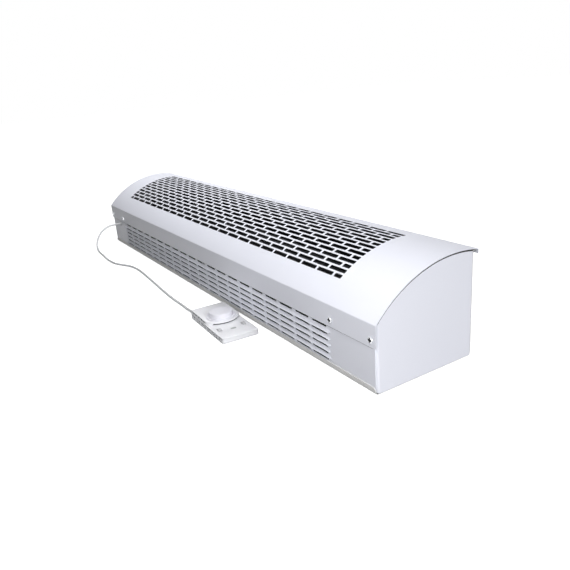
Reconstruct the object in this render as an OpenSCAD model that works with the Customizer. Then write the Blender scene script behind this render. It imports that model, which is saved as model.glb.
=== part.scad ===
// Heated air curtain for fixing above a door, with a wired wall controller.
// The back of the casing lies on z = 0, the air outlet faces -Y and the intake faces +Z.

/* [Casing] */
// Overall length of the casing
case_l = 1070; // [800:10:1400]
// Depth from the outlet face to the rear wall
case_d = 173; // [140:1:210]
// Height of the front bend of the cover
front_h = 97; // [92:1:120]
// Outer radius of the curved cover
cover_r = 187; // [180:1:230]
// How far behind mid depth the cover's axis lies
cover_axis_y = 53.5; // [40:0.5:60]
// Thickness of the steel sheet
sheet_t = 1.2; // [0.8:0.1:2]
// How far the cover's lip stands out behind the rear wall
hook_out = 8; // [6:0.5:12]
// Depth of the lip along the cover's rear edge
hook_drop = 7; // [4:0.5:12]
// Height of the lower edge of the cover's apron
apron_low = 64.5; // [60:0.5:72]
// How far each end plate is set in from the cover's end
end_inset = 1; // [0.5:0.1:3]
// Width of the folded flanges
flange_w = 14; // [10:1:18]
// Height of the tray's front lip
tray_lip_h = 9.5; // [6:0.5:10]
// Corner radius of the tray's front lip
tray_lip_r = 7; // [2:0.5:8]
// How far the outlet panel stops short of the end plates' outer faces
panel_short = 3; // [2.5:0.5:6]
// Distance from the inner pair of cover screws to the casing's end
cover_screw_in = 94; // [90:1:110]
// Height of the top edge of the outlet panel
panel_top = 86; // [82:1:90]

/* [Intake slots] */
// Distance between neighbouring slots along the casing
slot_pitch = 40; // [30:1:60]
// Length of one intake slot
slot_l = 35.5; // [20:0.5:37]
// Height of one intake slot along the curve
slot_h = 6.3; // [4:0.1:7]
// Distance between rows of slots along the curve
slot_row = 9.5; // [8:0.1:14]
// Curve length from the front bend to the first row of slots
slot_front = 43.2; // [30:0.1:60]
// Curve length kept plain behind the last row of slots
slot_rear = 28; // [20:0.5:50]
// Plain length kept at each end of the intake slots, before they are shifted
slot_margin = 94; // [80:1:140]
// Shift of the whole field of slots along the casing, above 0 towards the motor end
slot_shift = -9; // [-12:0.5:12]

/* [Outlet louvres] */
// Distance between neighbouring louvres along the casing
louvre_pitch = 43.4; // [35:0.1:60]
// Length of one louvre opening
louvre_l = 38.5; // [24:0.5:40]
// How much shorter the openings in the top row are
louvre_top_cut = 4; // [0:0.5:8]
// Height of one louvre opening
louvre_h = 4.6; // [3:0.1:5]
// Height of the openings in the top row, measured down from the same upper edge
louvre_top_h = 3.6; // [2:0.1:4.6]
// Distance between rows of louvres
louvre_row = 9.7; // [9:0.1:11]
// Height of the centre of the lowest row
louvre_low = 12.9; // [12.5:0.1:16]
// How far a louvre hood stands out of the panel
hood_out = 2; // [1:0.1:3]
// How far a louvre hood runs past its opening at each end
hood_past = 4.8; // [2:0.1:6]
// Plain length kept at each end of the louvres
louvre_margin = 100; // [95:1:140]

/* [Wall fixing] */
// Distance from a fixing hole to the casing's end
fix_in = 20; // [18:1:24]
// Distance between the two rows of fixing holes
fix_y = 120; // [100:1:125]
// Diameter of a fixing hole
fix_d = 7; // [5:0.5:9]

/* [Fan] */
// Outer radius of the fan
fan_r = 42; // [36:1:44]
// Height of the fan's axis above the wall
fan_z = 84; // [78:1:88]
// Distance from the fan's axis to the outside of the rear wall
fan_in = 64.5; // [62:0.5:70]
// Number of blades round the fan
blade_count = 24; // [12:2:36]
// Width of the ring of blades
blade_ring = 9; // [7:0.5:11]
// Distance from a bulkhead to the casing's end
bulkhead_in = 88; // [84:1:100]
// Gap between the fan and each bulkhead
fan_gap = 12; // [10:0.5:16]
// Diameter of the fan and motor shafts
shaft_d = 8; // [6:0.5:10]
// Running clearance of a shaft in its bush
shaft_play = 0.1; // [0.05:0.05:0.2]
// Outer diameter of the rubber rings that carry the motor and bearing
ring_d = 36; // [32:1:40]

/* [Motor] */
// Diameter of the motor
motor_d = 76; // [66:1:80]
// Length of the motor's core
core_l = 30; // [20:1:34]
// Length of each motor end bell
bell_l = 12; // [10:1:14]

/* [Heater] */
// Outer diameter of the heater's fins
fin_d = 22; // [16:1:23]
// Diameter of a heater tube
heater_d = 8.5; // [7:0.5:10]
// Distance between heater fins
fin_pitch = 10; // [8:1:20]

/* [Controller] */
// Length of the controller
box_l = 139; // [120:1:160]
// Width of the controller
box_w = 64.5; // [58:0.5:80]
// Height of the controller's base shell
box_base_h = 5; // [5:0.5:8]
// Height of the controller's lower deck
box_low_h = 9.5; // [9:0.5:12]
// Height of the controller's raised deck
box_high_h = 15; // [14.5:0.5:18]
// Wall thickness of the controller's shells
box_t = 1.6; // [1.2:0.1:2.2]
// Diameter of the thermostat dial
dial_d = 50; // [40:1:54]
// Height of the thermostat dial
dial_h = 10; // [6:0.5:12]
// How far the dial's centre is from the controller's middle
dial_off = 8; // [6:0.5:12]
// Travel of a slide switch to each side
switch_travel = 2.5; // [1.5:0.1:3]

/* [Cord] */
// Diameter of the controller's cord
cord_d = 5; // [4:0.5:7]

/* [Hidden] */
$fn = 64;
eps = 0.01;
over = 1;            // how far a cutter reaches past what it cuts
seat_gap = 0.3;      // gap between pieces that seat on each other
free_gap = 0.4;      // gap round pieces that slide or turn

// casing, all worked out from the sizes above
front_y = -case_d/2;
rear_y = case_d/2;
cover_axis_z = front_h - sqrt(pow(cover_r, 2) - pow(cover_axis_y - front_y, 2));
lip_y = rear_y + hook_out;
inner_r = cover_r - sheet_t;
seat_r = inner_r - seat_gap;
panel_y = front_y + sheet_t;             // outer face of the outlet panel
flange_y = panel_y + sheet_t;            // outer face of the end plates' front flanges
plate_x = case_l/2 - end_inset;          // outer face of an end plate
tray_x = plate_x - sheet_t;              // end of the tray
lip_low = arc_z(lip_y, cover_r) - hook_drop;
rear_in = rear_y - sheet_t;              // inner face of the rear wall
shelf_y = lip_y - sheet_t - 1;           // outer edge of the shelf that the cover hangs on
shelf_z = arc_z(shelf_y, inner_r) - seat_gap;
cover_screw_z = (apron_low + panel_top)/2;
sheet_screw_d = 4;
sheet_head_d = 9;
sheet_head_h = 2.4;
cover_screw_xs = [plate_x - 9, case_l/2 - cover_screw_in];   // the end plates' and the bulkheads'
front_angle = atan2(front_h - cover_axis_z, front_y - cover_axis_y);
rear_angle = atan2(arc_z(lip_y, cover_r) - cover_axis_z, lip_y - cover_axis_y);
arc_l = (front_angle - rear_angle)*PI/180*cover_r;
slot_rows = floor((arc_l - slot_front - slot_rear)/slot_row) + 1;
slot_columns = floor((case_l - 2*slot_margin + slot_pitch - slot_l)/slot_pitch);
half_slot = (slot_l - (slot_pitch - slot_l))/2;
louvre_rows = floor((apron_low - louvre_h/2 - louvre_low)/louvre_row) + 1;
louvre_columns = floor((case_l - 2*louvre_margin + louvre_pitch - louvre_l)/louvre_pitch);
hood_rise = 4.6;                         // height of a hood over its opening
lip_h = 0.4;                             // half the height of a hood's lip

// fan and its bulkheads
fan_y = rear_y - fan_in;
wall_x = case_l/2 - bulkhead_in;         // inner face of a bulkhead
wall_out = wall_x + sheet_t;
fan_x = wall_x - fan_gap;                // end of the fan
fan_turn = [90, 0, 90];
disc_t = 1.2;
disc_count = 9;
blade_t = 0.9;
hub_d = 30;
hub_l = 16;
bush_d = 16;
bush_l = 10;
duct_low = 5;                            // height of the duct's floor
duct_high = 70;                          // height of the duct's roof at the panel
guide_t = 1;
tongue_gap = 4;
tongue_y = fan_y - fan_r - tongue_gap;
foot_w = 6;                              // width of a bulkhead's foot
ring_lip = 3;
clamp_d = 62;
clamp_screw_r = 26.5;
clamp_screw_d = 3;

// motor
motor_x = wall_out + 10;                 // front of the front bell
boss_d = 22;
boss_l = 6;
bell_t = 2;
core_x = motor_x + bell_l;
motor_end = core_x + core_l + bell_l;
armature_d = motor_d*0.55;
air_gap = 0.6;
winding_l = 8;
bracket_w = 56;
motor_bush_d = 14;
floor_screw_d = 4;
cap_d = 28;                              // the motor's capacitor
cap_l = 36;
cap_x = motor_x + 23;
cap_y = fan_y - bracket_w/2 - cap_d/2 - 12;
cap_z = sheet_t + seat_gap + cap_d/2 + 1;
bracket_t = 1.5;
motor_holds = [motor_x - boss_l/2, motor_end + boss_l/2];

// heater
heater_spots = [[front_y + 26.5, 21], [front_y + 50.5, 33], [front_y + 26.5, 46]];
heater_bush_d = heater_d + 5;
bush_play = 0.1;                         // clearance of a heater tube in its bush
cutout_z = heater_spots[2].y + 18;
heater_out = 16;                         // how far a tube reaches past a bulkhead
heater_l = 2*(wall_out + heater_out);
fin_t = 0.8;
fin_count = 2*floor((wall_x - 8)/fin_pitch);
tab_w = 6.3;                             // push-on tabs
tab_t = 0.8;

// left compartment
plate_z = 12;
plate_l = tray_x - flange_w - wall_x - foot_w - 2;
plate_w = 92;
bay_x = -(wall_x + foot_w + 1 + plate_l/2);    // middle of the electrics plate
gland_x = -case_l/2 + 45;
gland_z = 60;
gland_d = 16;
gland_bore = 10;
loom_d = 6;
loom_y = rear_in - 11.3;
loom_z = 8;
block_y = 18;                            // terminal block
block_l = 60;
block_w = 24;
block_h = 16;
lead_z = plate_z + sheet_t + 5;
relay_y = -26;
relay_l = 32;
relay_w = 26;
relay_h = 30;
rear_screw_zs = [40, 120];

// controller: its middle, its turn and what sits on it
box_x = -case_l/2 + 731;
box_y = front_y - 45.5;
box_turn = -3;
box_r = 4;
box_floor = 1.8;
cover_in = 0.3;                          // how far the cover is set in from the base's sides
box_screw_d = 3;
box_fix_l = 84;                          // between the two wall screws
box_fix_d = 4.5;
deck_in = 1.2;                           // how far the raised deck is set in from the sides
deck_r = box_w/2 + 2.75;                 // round end of the raised deck
deck_u = -18;                            // middle of that round end
dial_u = -dial_off;
board_z = 2.6;
board_t = 1.6;
switch_u = 33;
switch_v = 21.5;
lens_u = 41;
lens_l = 5;
lens_w = 9;
slider_l = 7;
slider_w = 5.6;
slider_out = 1.6;                        // how far a slider stands out of the lower deck
switch_top = box_low_h - box_t - 0.4;
vent_pitch = 12;                         // slots along the long sides of the shells
vent_fin = 1.0;                          // what stands between two slots
deck_vents = 5;
deck_vent_u = -box_l/2 + 5;              // where the raised deck's slots start
deck_vent_h = box_high_h - box_low_h - box_t - 0.5;
low_vents = floor((box_l - 18)/vent_pitch);
low_vent_u = -(low_vents*vent_pitch - vent_fin)/2;
base_vent_h = 2.6;
slot_turn = [-40, 60];                   // directions between which the deck's front slot runs
deck_slot_h = 2.2;
skirt_h = 2.4;                           // height of the dial's skirt
dial_cap_d = dial_d - 9;                 // foot of the dial's cap
dial_taper = 2;                          // how much narrower the cap is at its top
stem_d = 6;
stem_in = 3;                             // depth of the stem's bore in the dial
stem_low = board_z + board_t + 2;
bush_v = -25;
bush_z = 5;
bush_out = 5;
box_screw_u = box_l/2 - 9;

// the cord's route, chosen by hand from the panel to the controller and measured from the
// casing's lower front left corner
grommet_out = 2;
cord_way = [[61, -0.8, 57], [61, -10.5, 57], [61, -20.5, 57], [61, -30.5, 56], [61, -41.5, 52],
  [61, -52.5, 45], [62, -61.5, 35], [63, -67.5, 24], [67, -71.5, 13], [77, -73.5, 6], [91, -74.5, 3],
  [111, -75.5, 2.5], [135, -76.5, 2.5], [165, -78.5, 2.5], [197, -78.5, 2.5], [225, -75.5, 2.5],
  [247, -67.5, 2.5], [267, -58.5, 2.5], [290, -52.5, 2.5], [319, -50.5, 2.5], [355, -51.5, 2.5],
  [403, -54.5, 2.5], [449, -57.5, 2.5], [491, -60.5, 2.5], [529, -62.5, 2.5], [563, -63.5, 2.5],
  [593, -63.5, 2.5], [619, -64.5, 3], [639, -65.7, 4.7], [655.3, -66.6, 5]];
cord_route = [for (p = cord_way) p + [-case_l/2, front_y, 0]];
cord_x = cord_route[0].x;
cord_z = cord_route[0].z;
cord_sides = 10;

function arc_z(y, r) = cover_axis_z + sqrt(pow(r, 2) - pow(y - cover_axis_y, 2));
function box_spot(u, v, z) = [box_x + u*cos(box_turn) - v*sin(box_turn),
  box_y + u*sin(box_turn) + v*cos(box_turn), z];

// one of a left and right pair, drawn for +X
module at_end(side) mirror([side < 0 ? 1 : 0, 0, 0]) children();

// a section drawn in (y, z), carried along X over length l from x
module along_x(x, l) translate([x, 0, 0]) rotate(fan_turn) linear_extrude(l) children();

// a cylinder along X
module rod_x(x, l, d) along_x(x, l) circle(d = d);

// a rectangle with round corners
module round_rect(l, w, r) {
  square([l - 2*r, w], center = true);
  square([l, w - 2*r], center = true);
  for (u = [-1, 1], v = [-1, 1]) translate([u*(l/2 - r), v*(w/2 - r)]) circle(r = r);
}

// pan head screw along +Z, with its head below z = 0 and its shank above
module pan_screw(head_d, head_h, shank_d, shank_l) {
  difference() {
    translate([0, 0, -head_h]) cylinder(d1 = head_d*0.72, d2 = head_d, h = head_h);
    translate([0, 0, -head_h]) cube([head_d*0.5, head_d*0.13, head_h], center = true);
    translate([0, 0, -head_h]) cube([head_d*0.13, head_d*0.5, head_h], center = true);
  }
  cylinder(d = shank_d, h = shank_l);
}

// casing

// outline of the tray's front lip, with its upper corners rounded
module tray_lip() intersection() {
  low = tray_lip_h - tray_lip_r;
  translate([-tray_x, 0]) square([2*tray_x, tray_lip_h]);
  union() {
    translate([-tray_x, 0]) square([2*tray_x, low]);
    translate([-tray_x + tray_lip_r, 0]) square([2*(tray_x - tray_lip_r), tray_lip_h]);
    for (s = [-1, 1]) translate([s*(tray_x - tray_lip_r), low]) circle(r = tray_lip_r);
  }
}

module base_tray() color("gainsboro") difference() {
  union() {
    translate([-tray_x, front_y, 0]) cube([2*tray_x, case_d, sheet_t]);
    translate([0, panel_y, 0]) rotate([90, 0, 0]) linear_extrude(sheet_t) tray_lip();
    translate([-tray_x, rear_in, 0]) cube([2*tray_x, sheet_t, shelf_z]);
    translate([-tray_x, rear_in, shelf_z - sheet_t]) cube([2*tray_x, shelf_y - rear_in, sheet_t]);
  }
  for (x = [-1, 1], y = [-1, 1]) translate([x*(case_l/2 - fix_in), y*fix_y/2, -over])
    cylinder(d = fix_d, h = sheet_t + 2*over);
  bracket_spots() translate([0, 0, -over]) cylinder(d = floor_screw_d, h = sheet_t + 2*over);
  translate([gland_x, rear_y + over, gland_z]) rotate([90, 0, 0])
    cylinder(d = gland_d, h = sheet_t + 2*over);
  for (x = [-1, 1], z = rear_screw_zs) translate([x*(tray_x - flange_w/2), rear_y + over, z])
    rotate([90, 0, 0]) cylinder(d = sheet_screw_d + 0.2, h = sheet_t + 2*over);
}

// end plate outline, each edge drawn in by i
module plate_outline(i, y0, y1, z0) intersection() {
  translate([cover_axis_y, cover_axis_z]) circle(r = seat_r - i, $fn = 180);
  translate([y0 + i, z0 + i]) square([y1 - y0 - 2*i, 2*cover_r]);
}

module end_plate(side) color("lavender") at_end(side) difference() {
  union() {
    along_x(tray_x, sheet_t) plate_outline(0, flange_y, rear_y, 0);
    along_x(tray_x - flange_w, flange_w + eps) difference() {
      plate_outline(0, flange_y, rear_in, sheet_t);
      plate_outline(sheet_t, flange_y, rear_in, sheet_t);
    }
  }
  translate([cover_screw_xs[0], flange_y - over, cover_screw_z]) rotate([-90, 0, 0])
    cylinder(d = sheet_screw_d + 0.2, h = sheet_t + 2*over);
  for (z = rear_screw_zs) translate([tray_x - flange_w/2, rear_in + over, z]) rotate([90, 0, 0])
    cylinder(d = sheet_screw_d + 0.2, h = sheet_t + 2*over);
  translate([tray_x - flange_w - over, rear_in + eps - 8, shelf_z - sheet_t - seat_gap])
    cube([flange_w + over, 8, 3*sheet_t]);
}
module end_plate_left() end_plate(-1);
module end_plate_right() end_plate(1);

module cover_section() difference() {
  intersection() {
    translate([cover_axis_y, cover_axis_z]) circle(r = cover_r, $fn = 240);
    translate([front_y, apron_low]) square([case_d + hook_out, 2*cover_r]);
  }
  intersection() {
    translate([cover_axis_y, cover_axis_z]) circle(r = inner_r, $fn = 240);
    translate([panel_y, 0]) square([case_d + hook_out - 2*sheet_t, 2*cover_r]);
  }
  translate([0, apron_low - over]) square([case_d, lip_low - apron_low + over]);
}

// one column of slots: every other row of the brick pattern, cut through the curve
module slot_column(x, first, l) along_x(x - l/2, l)
  for (i = [first : 2 : slot_rows - 1]) translate([cover_axis_y, cover_axis_z])
    rotate(front_angle - (slot_front + slot_row*i)/cover_r*180/PI)
      translate([cover_r - 3, -slot_h/2]) square([6, slot_h]);

module intake_cover() color("white") difference() {
  along_x(-case_l/2, case_l) cover_section();
  translate([slot_shift, 0, 0]) {
    for (k = [0 : slot_columns - 1]) slot_column((k - (slot_columns - 1)/2)*slot_pitch, 1, slot_l);
    for (k = [1 : slot_columns - 1]) slot_column((k - slot_columns/2)*slot_pitch, 0, slot_l);
    for (s = [-1, 1]) slot_column(s*(slot_columns*slot_pitch - slot_pitch + slot_l - half_slot)/2,
      0, half_slot);
  }
  for (s = [-1, 1], x = cover_screw_xs) translate([s*x, front_y - over, cover_screw_z])
    rotate([-90, 0, 0]) cylinder(d = sheet_screw_d + 0.2, h = sheet_t + 2*over);
}

// louvre hood: a lip over a row of openings that slopes back to the panel, open below
module hood_section() polygon([[0, louvre_h/2 + hood_rise], [-hood_out, louvre_h/2 + lip_h],
  [-hood_out, louvre_h/2 - lip_h], [0, louvre_h/2]]);

module outlet_panel() color("gainsboro") {
  reach = (louvre_columns - 1)/2*louvre_pitch;
  difference() {
    union() {
      translate([panel_short - plate_x, panel_y, sheet_t])
        cube([2*(plate_x - panel_short), sheet_t, panel_top - sheet_t]);
      translate([-wall_x + 2, flange_y - eps, panel_top - sheet_t])
        cube([2*wall_x - 4, 8, sheet_t]);
    }
    for (k = [0 : louvre_columns - 1], i = [0 : louvre_rows - 1]) {
      l = i < louvre_rows - 1 ? louvre_l : louvre_l - louvre_top_cut;
      h = i < louvre_rows - 1 ? louvre_h : louvre_top_h;
      translate([k*louvre_pitch - reach - l/2, panel_y - sheet_t, louvre_low + i*louvre_row + louvre_h/2 - h])
        cube([l, 3*sheet_t, h]);
    }
    for (s = [-1, 1], x = cover_screw_xs) translate([s*x, panel_y - over, cover_screw_z])
      rotate([-90, 0, 0]) cylinder(d = sheet_screw_d + 0.2, h = sheet_t + 2*over);
    translate([cord_x, panel_y - over, cord_z]) rotate([-90, 0, 0])
      cylinder(d = cord_d + 3, h = sheet_t + 2*over);
  }
  for (i = [0 : louvre_rows - 2]) translate([0, panel_y, louvre_low + i*louvre_row])
    along_x(-reach - louvre_l/2 - hood_past, 2*reach + louvre_l + 2*hood_past) hood_section();
}

module cover_screws() color("silver") for (s = [-1, 1], x = cover_screw_xs)
  translate([s*x, front_y, cover_screw_z]) rotate([-90, 0, 0])
    pan_screw(sheet_head_d, sheet_head_h, sheet_screw_d, 9);

module end_plate_screws() color("silver") for (s = [-1, 1], z = rear_screw_zs)
  translate([s*(tray_x - flange_w/2), rear_y, z]) rotate([90, 0, 0])
    pan_screw(sheet_head_d, sheet_head_h, sheet_screw_d, 8);

// fan chamber

// bulkhead with its round holes; it carries one end of the fan
module bulkhead(side, hole_d) color("lightgray") at_end(side) difference() {
  union() {
    along_x(wall_x, sheet_t) plate_outline(1, flange_y - 1 + seat_gap, rear_in + 1 - seat_gap, sheet_t - 1);
    translate([wall_x, flange_y + 20, sheet_t]) cube([foot_w, case_d - 50, sheet_t]);
    translate([cover_screw_xs[1] - 7, flange_y, duct_high + 2])
      cube([wall_x - cover_screw_xs[1] + 7 + eps, sheet_t, panel_top - duct_high - 4]);
    translate([wall_x, flange_y, duct_high + 2]) cube([sheet_t, 1, panel_top - duct_high - 4]);
  }
  translate([cover_screw_xs[1], flange_y - over, cover_screw_z]) rotate([-90, 0, 0])
    cylinder(d = sheet_screw_d + 0.2, h = sheet_t + 2*over);
  translate([0, fan_y, fan_z]) rod_x(wall_x - over, sheet_t + 2*over, hole_d);
  for (p = heater_spots) translate([0, p.x, p.y]) rod_x(wall_x - over, sheet_t + 2*over, heater_bush_d);
  translate([0, loom_y, loom_z]) rod_x(wall_x - over, sheet_t + 2*over, loom_d + 2*free_gap);
  if (side < 0) clamp_spots() rod_x(wall_x - over, sheet_t + 2*over, clamp_screw_d);
}
module bulkhead_left() bulkhead(-1, ring_d);
module bulkhead_right() bulkhead(1, hub_d);

// the three screws of the bearing clamp
module clamp_spots() translate([0, fan_y, fan_z]) for (a = [30, 150, 270]) rotate([a, 0, 0])
  translate([0, clamp_screw_r, 0]) children();

// scroll guide: a spiral sheet round the back of the fan that ends as the duct's floor
function guide_r(a) = fan_r + tongue_gap + (fan_z - duct_low - fan_r - tongue_gap)*(a + 35)/125;
function guide_point(a, t) = [fan_y + (guide_r(a) + t)*cos(a), fan_z - (guide_r(a) + t)*sin(a)];
module scroll_guide() color("silver") along_x(seat_gap - wall_x, 2*(wall_x - seat_gap)) polygon(concat(
  [for (a = [-35 : 5 : 90]) guide_point(a, 0)],
  [[flange_y + seat_gap, duct_low], [flange_y + seat_gap, duct_low - guide_t]],
  [for (a = [90 : -5 : -35]) guide_point(a, guide_t)]));

// vortex tongue: the duct's roof, turned up in front of the fan
module vortex_tongue() color("silver") along_x(seat_gap - wall_x, 2*(wall_x - seat_gap)) polygon([
  [flange_y + seat_gap, duct_high], [tongue_y, duct_high + 4], [tongue_y - 2, fan_z + 10],
  [tongue_y - 3, fan_z + 10], [tongue_y - 1, duct_high + 5], [flange_y + seat_gap, duct_high + 1]]);

// fan

// a blade: a strip between two radii that curves forward as it goes out
function blade_angle(j) = 16*(1 - cos(j*22.5));
function blade_side(r0, w, s) = [for (j = s > 0 ? [0 : 4] : [4 : -1 : 0])
  let (r = r0 + w*j/4, a = blade_angle(j) + s*blade_t/2/r*180/PI) [r*cos(a), r*sin(a)]];
module blade_ring_section() for (k = [0 : blade_count - 1]) rotate(k*360/blade_count)
  polygon(concat(blade_side(fan_r - blade_ring, blade_ring - 1, 1),
    blade_side(fan_r - blade_ring, blade_ring - 1, -1)));

module on_fan() translate([0, fan_y, fan_z]) children();

module fan_blades() color("silver") on_fan() along_x(-fan_x, 2*fan_x) blade_ring_section();

// end discs are whole, the discs between them are rings; the blades pass through slots in all of them
module fan_disc(x, hole_d) along_x(x, disc_t) difference() {
  circle(r = fan_r);
  circle(d = hole_d);
  blade_ring_section();
}
module fan_discs() color("silver") on_fan() {
  fan_disc(-fan_x, shaft_d);
  for (i = [1 : disc_count - 2])
    fan_disc(-fan_x + i*(2*fan_x - disc_t)/(disc_count - 1), 2*(fan_r - blade_ring - 5));
  fan_disc(fan_x - disc_t, hub_d);
}

// rubber hub with a collar, bonded into the fan's driven end
module fan_hub() color("dimgray") on_fan() difference() {
  union() {
    rod_x(fan_x - hub_l, hub_l, hub_d);
    rod_x(fan_x, 2, hub_d + 6);
  }
  rod_x(fan_x - hub_l - over, hub_l + 4*over, shaft_d);
}

// stub shaft with its riveted flange
module idle_shaft() color("silver") on_fan() {
  rod_x(-wall_out - 8, wall_out + 8 - fan_x + 6, shaft_d);
  rod_x(-fan_x - 2, 2, 24);
}

module idle_bearing() color("peru") on_fan() difference() {
  rod_x(-wall_x - sheet_t/2 - bush_l/2, bush_l, bush_d);
  rod_x(-wall_x - bush_l, 2*bush_l, shaft_d + 2*shaft_play);
}

// rubber ring with a groove that grips the bulkhead
module bearing_ring() color("dimgray") on_fan() difference() {
  union() {
    rod_x(-wall_out, sheet_t, ring_d);
    rod_x(-wall_out - ring_lip, ring_lip, ring_d + 6);
    rod_x(-wall_x, ring_lip, ring_d + 6);
  }
  rod_x(-wall_x - bush_l, 2*bush_l, bush_d);
}

module bearing_clamp() color("silver") difference() {
  on_fan() difference() {
    rod_x(-wall_out - ring_lip - 1.5, ring_lip + 1.5, clamp_d);
    rod_x(-wall_out - ring_lip, ring_lip + over, ring_d + 6);
    rod_x(-wall_out - ring_lip - 3, ring_lip + 3, ring_d - 6);
  }
  at_end(-1) clamp_spots() rod_x(wall_out - over, 9, clamp_screw_d);
}

module clamp_screws() color("silver") at_end(-1) clamp_spots()
  translate([wall_out + ring_lip + 1.5, 0, 0]) rotate([0, -90, 0])
    pan_screw(5.5, 1.8, clamp_screw_d, ring_lip + 1.5 + sheet_t + 1);

// motor

module motor_bell(x, dir) color("darkgray") on_fan() translate([x, 0, 0]) mirror([dir < 0 ? 1 : 0, 0, 0])
  difference() {
    union() {
      rod_x(0, bell_l, motor_d);
      rod_x(-boss_l, boss_l, boss_d);
    }
    rod_x(bell_t, bell_l, motor_d - 6);
    rod_x(-boss_l - over, boss_l + bell_t + 2*over, motor_bush_d);
    for (a = [0 : 60 : 300]) rotate([a, 0, 0]) translate([0, motor_d*0.33, 0])
      rod_x(-over, bell_t + 2*over, 9);
  }
module motor_bell_front() motor_bell(motor_x, 1);
module motor_bell_rear() motor_bell(motor_end, -1);

module motor_core() color("slategray") on_fan() difference() {
  rod_x(core_x, core_l, motor_d);
  rod_x(core_x - over, core_l + 2*over, armature_d + 2*air_gap);
}

module motor_windings() color("chocolate") on_fan()
  for (x = [core_x - winding_l, core_x + core_l]) difference() {
    rod_x(x, winding_l, motor_d - 10);
    rod_x(x - over, winding_l + 2*over, armature_d + 6);
  }

module motor_armature() color("slategray") on_fan() difference() {
  rod_x(core_x - 2, core_l + 4, armature_d);
  rod_x(core_x - 2 - over, core_l + 4 + 2*over, shaft_d);
}

module motor_shaft() color("silver") on_fan()
  rod_x(fan_x - hub_l + 2, motor_end + 8 - fan_x + hub_l - 2, shaft_d);

module motor_bushes() color("peru") on_fan() for (x = [motor_x - boss_l, motor_end - bell_t]) difference() {
  rod_x(x, boss_l + bell_t, motor_bush_d);
  rod_x(x - over, boss_l + bell_t + 2*over, shaft_d + 2*shaft_play);
}

module motor_rings() color("dimgray") on_fan() for (x = [motor_x - boss_l, motor_end]) difference() {
  rod_x(x, boss_l, ring_d);
  rod_x(x - over, boss_l + 2*over, boss_d);
}

module bracket_spots() for (x = [motor_holds[0] + 12, motor_holds[1] - 12], y = [-1, 1])
  translate([x, fan_y + y*(bracket_w/2 - 7), 0]) children();

module motor_bracket() color("silver") difference() {
  union() {
    for (x = motor_holds) translate([x - bracket_t/2, fan_y - bracket_w/2, sheet_t])
      cube([bracket_t, bracket_w, fan_z + ring_d/2 + 7 - sheet_t]);
    translate([motor_holds[0] - bracket_t/2, fan_y - bracket_w/2, sheet_t])
      cube([motor_holds[1] - motor_holds[0] + bracket_t, bracket_w, bracket_t]);
  }
  for (x = motor_holds) translate([0, fan_y, fan_z]) rod_x(x - 2, 4, ring_d);
  bracket_spots() cylinder(d = floor_screw_d, h = 2*sheet_t + 2*bracket_t);
}

module bracket_screws() color("silver") bracket_spots() translate([0, 0, sheet_t + bracket_t])
  rotate([180, 0, 0]) pan_screw(7, 2.2, floor_screw_d, sheet_t + bracket_t - 0.2);

module motor_capacitor() color("whitesmoke") translate([0, cap_y, cap_z]) {
  rod_x(cap_x, cap_l, cap_d);
  for (y = [-5, 5]) translate([cap_x + cap_l - eps, y - tab_w/2, -tab_t/2]) cube([9, tab_w, tab_t]);
}

module capacitor_clip() color("silver") difference() {
  union() {
    translate([0, cap_y, cap_z]) rod_x(cap_x + 14, 10, cap_d + 2);
    translate([cap_x + 14, cap_y - cap_d/2 - 10, sheet_t]) cube([10, cap_d + 20, 1.5]);
  }
  translate([0, cap_y, cap_z]) rod_x(cap_x + 13, 12, cap_d);
  translate([cap_x + 13, cap_y - cap_d, -over]) cube([12, 2*cap_d, sheet_t + over]);
}

// heater

// half outline of a finned tube: fins stand every fin_pitch, none at the middle
module finned_outline() polygon(concat([[0, -heater_l/2], [heater_d/2, -heater_l/2]],
  [for (i = [0 : fin_count - 1], q = [0 : 3]) let (x = (i - (fin_count - 1)/2)*fin_pitch)
    [q == 1 || q == 2 ? fin_d/2 : heater_d/2, x + (q < 2 ? -fin_t/2 : fin_t/2)]],
  [[heater_d/2, heater_l/2], [0, heater_l/2]]));

module heater_elements() color("silver") for (p = heater_spots) translate([0, p.x, p.y])
  rotate([0, 90, 0]) rotate_extrude() finned_outline();

module heater_bushes() color("white") for (p = heater_spots, s = [-1, 1]) at_end(s)
  translate([0, p.x, p.y]) difference() {
    union() {
      rod_x(wall_x - 1, sheet_t + 7, heater_bush_d);
      rod_x(wall_out, 3, heater_bush_d + 4);
    }
    rod_x(wall_x - 2, 12, heater_d + 2*bush_play);
  }

module heater_tabs() color("silver") for (p = heater_spots, s = [-1, 1]) at_end(s)
  translate([heater_l/2, p.x - tab_w/2, p.y - tab_t/2]) cube([10, tab_w, tab_t]);

module heater_support() color("silver") difference() {
  translate([-0.5, heater_spots[0].x - 14, duct_low + seat_gap])
    cube([1, heater_spots[1].x - heater_spots[0].x + 26, duct_high - duct_low - 8]);
  for (p = heater_spots) translate([0, p.x, p.y]) rod_x(-over, 2*over, heater_d);
}

module thermal_cutout() color("darkslategray") translate([0, heater_spots[2].x, cutout_z]) {
  rod_x(-wall_out - 9, 9, 16);
  for (y = [-5, 5]) translate([-wall_out - 17, y - 2.4, -0.4]) cube([8 + eps, 4.8, 0.8]);
}

// wiring and terminals

module electrics_plate() color("lightgray") {
  translate([bay_x - plate_l/2, -plate_w/2, plate_z]) cube([plate_l, plate_w, sheet_t]);
  for (y = [-plate_w/2, plate_w/2 - sheet_t]) translate([bay_x - plate_l/2, y, sheet_t])
    cube([plate_l, sheet_t, plate_z - sheet_t]);
}

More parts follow.
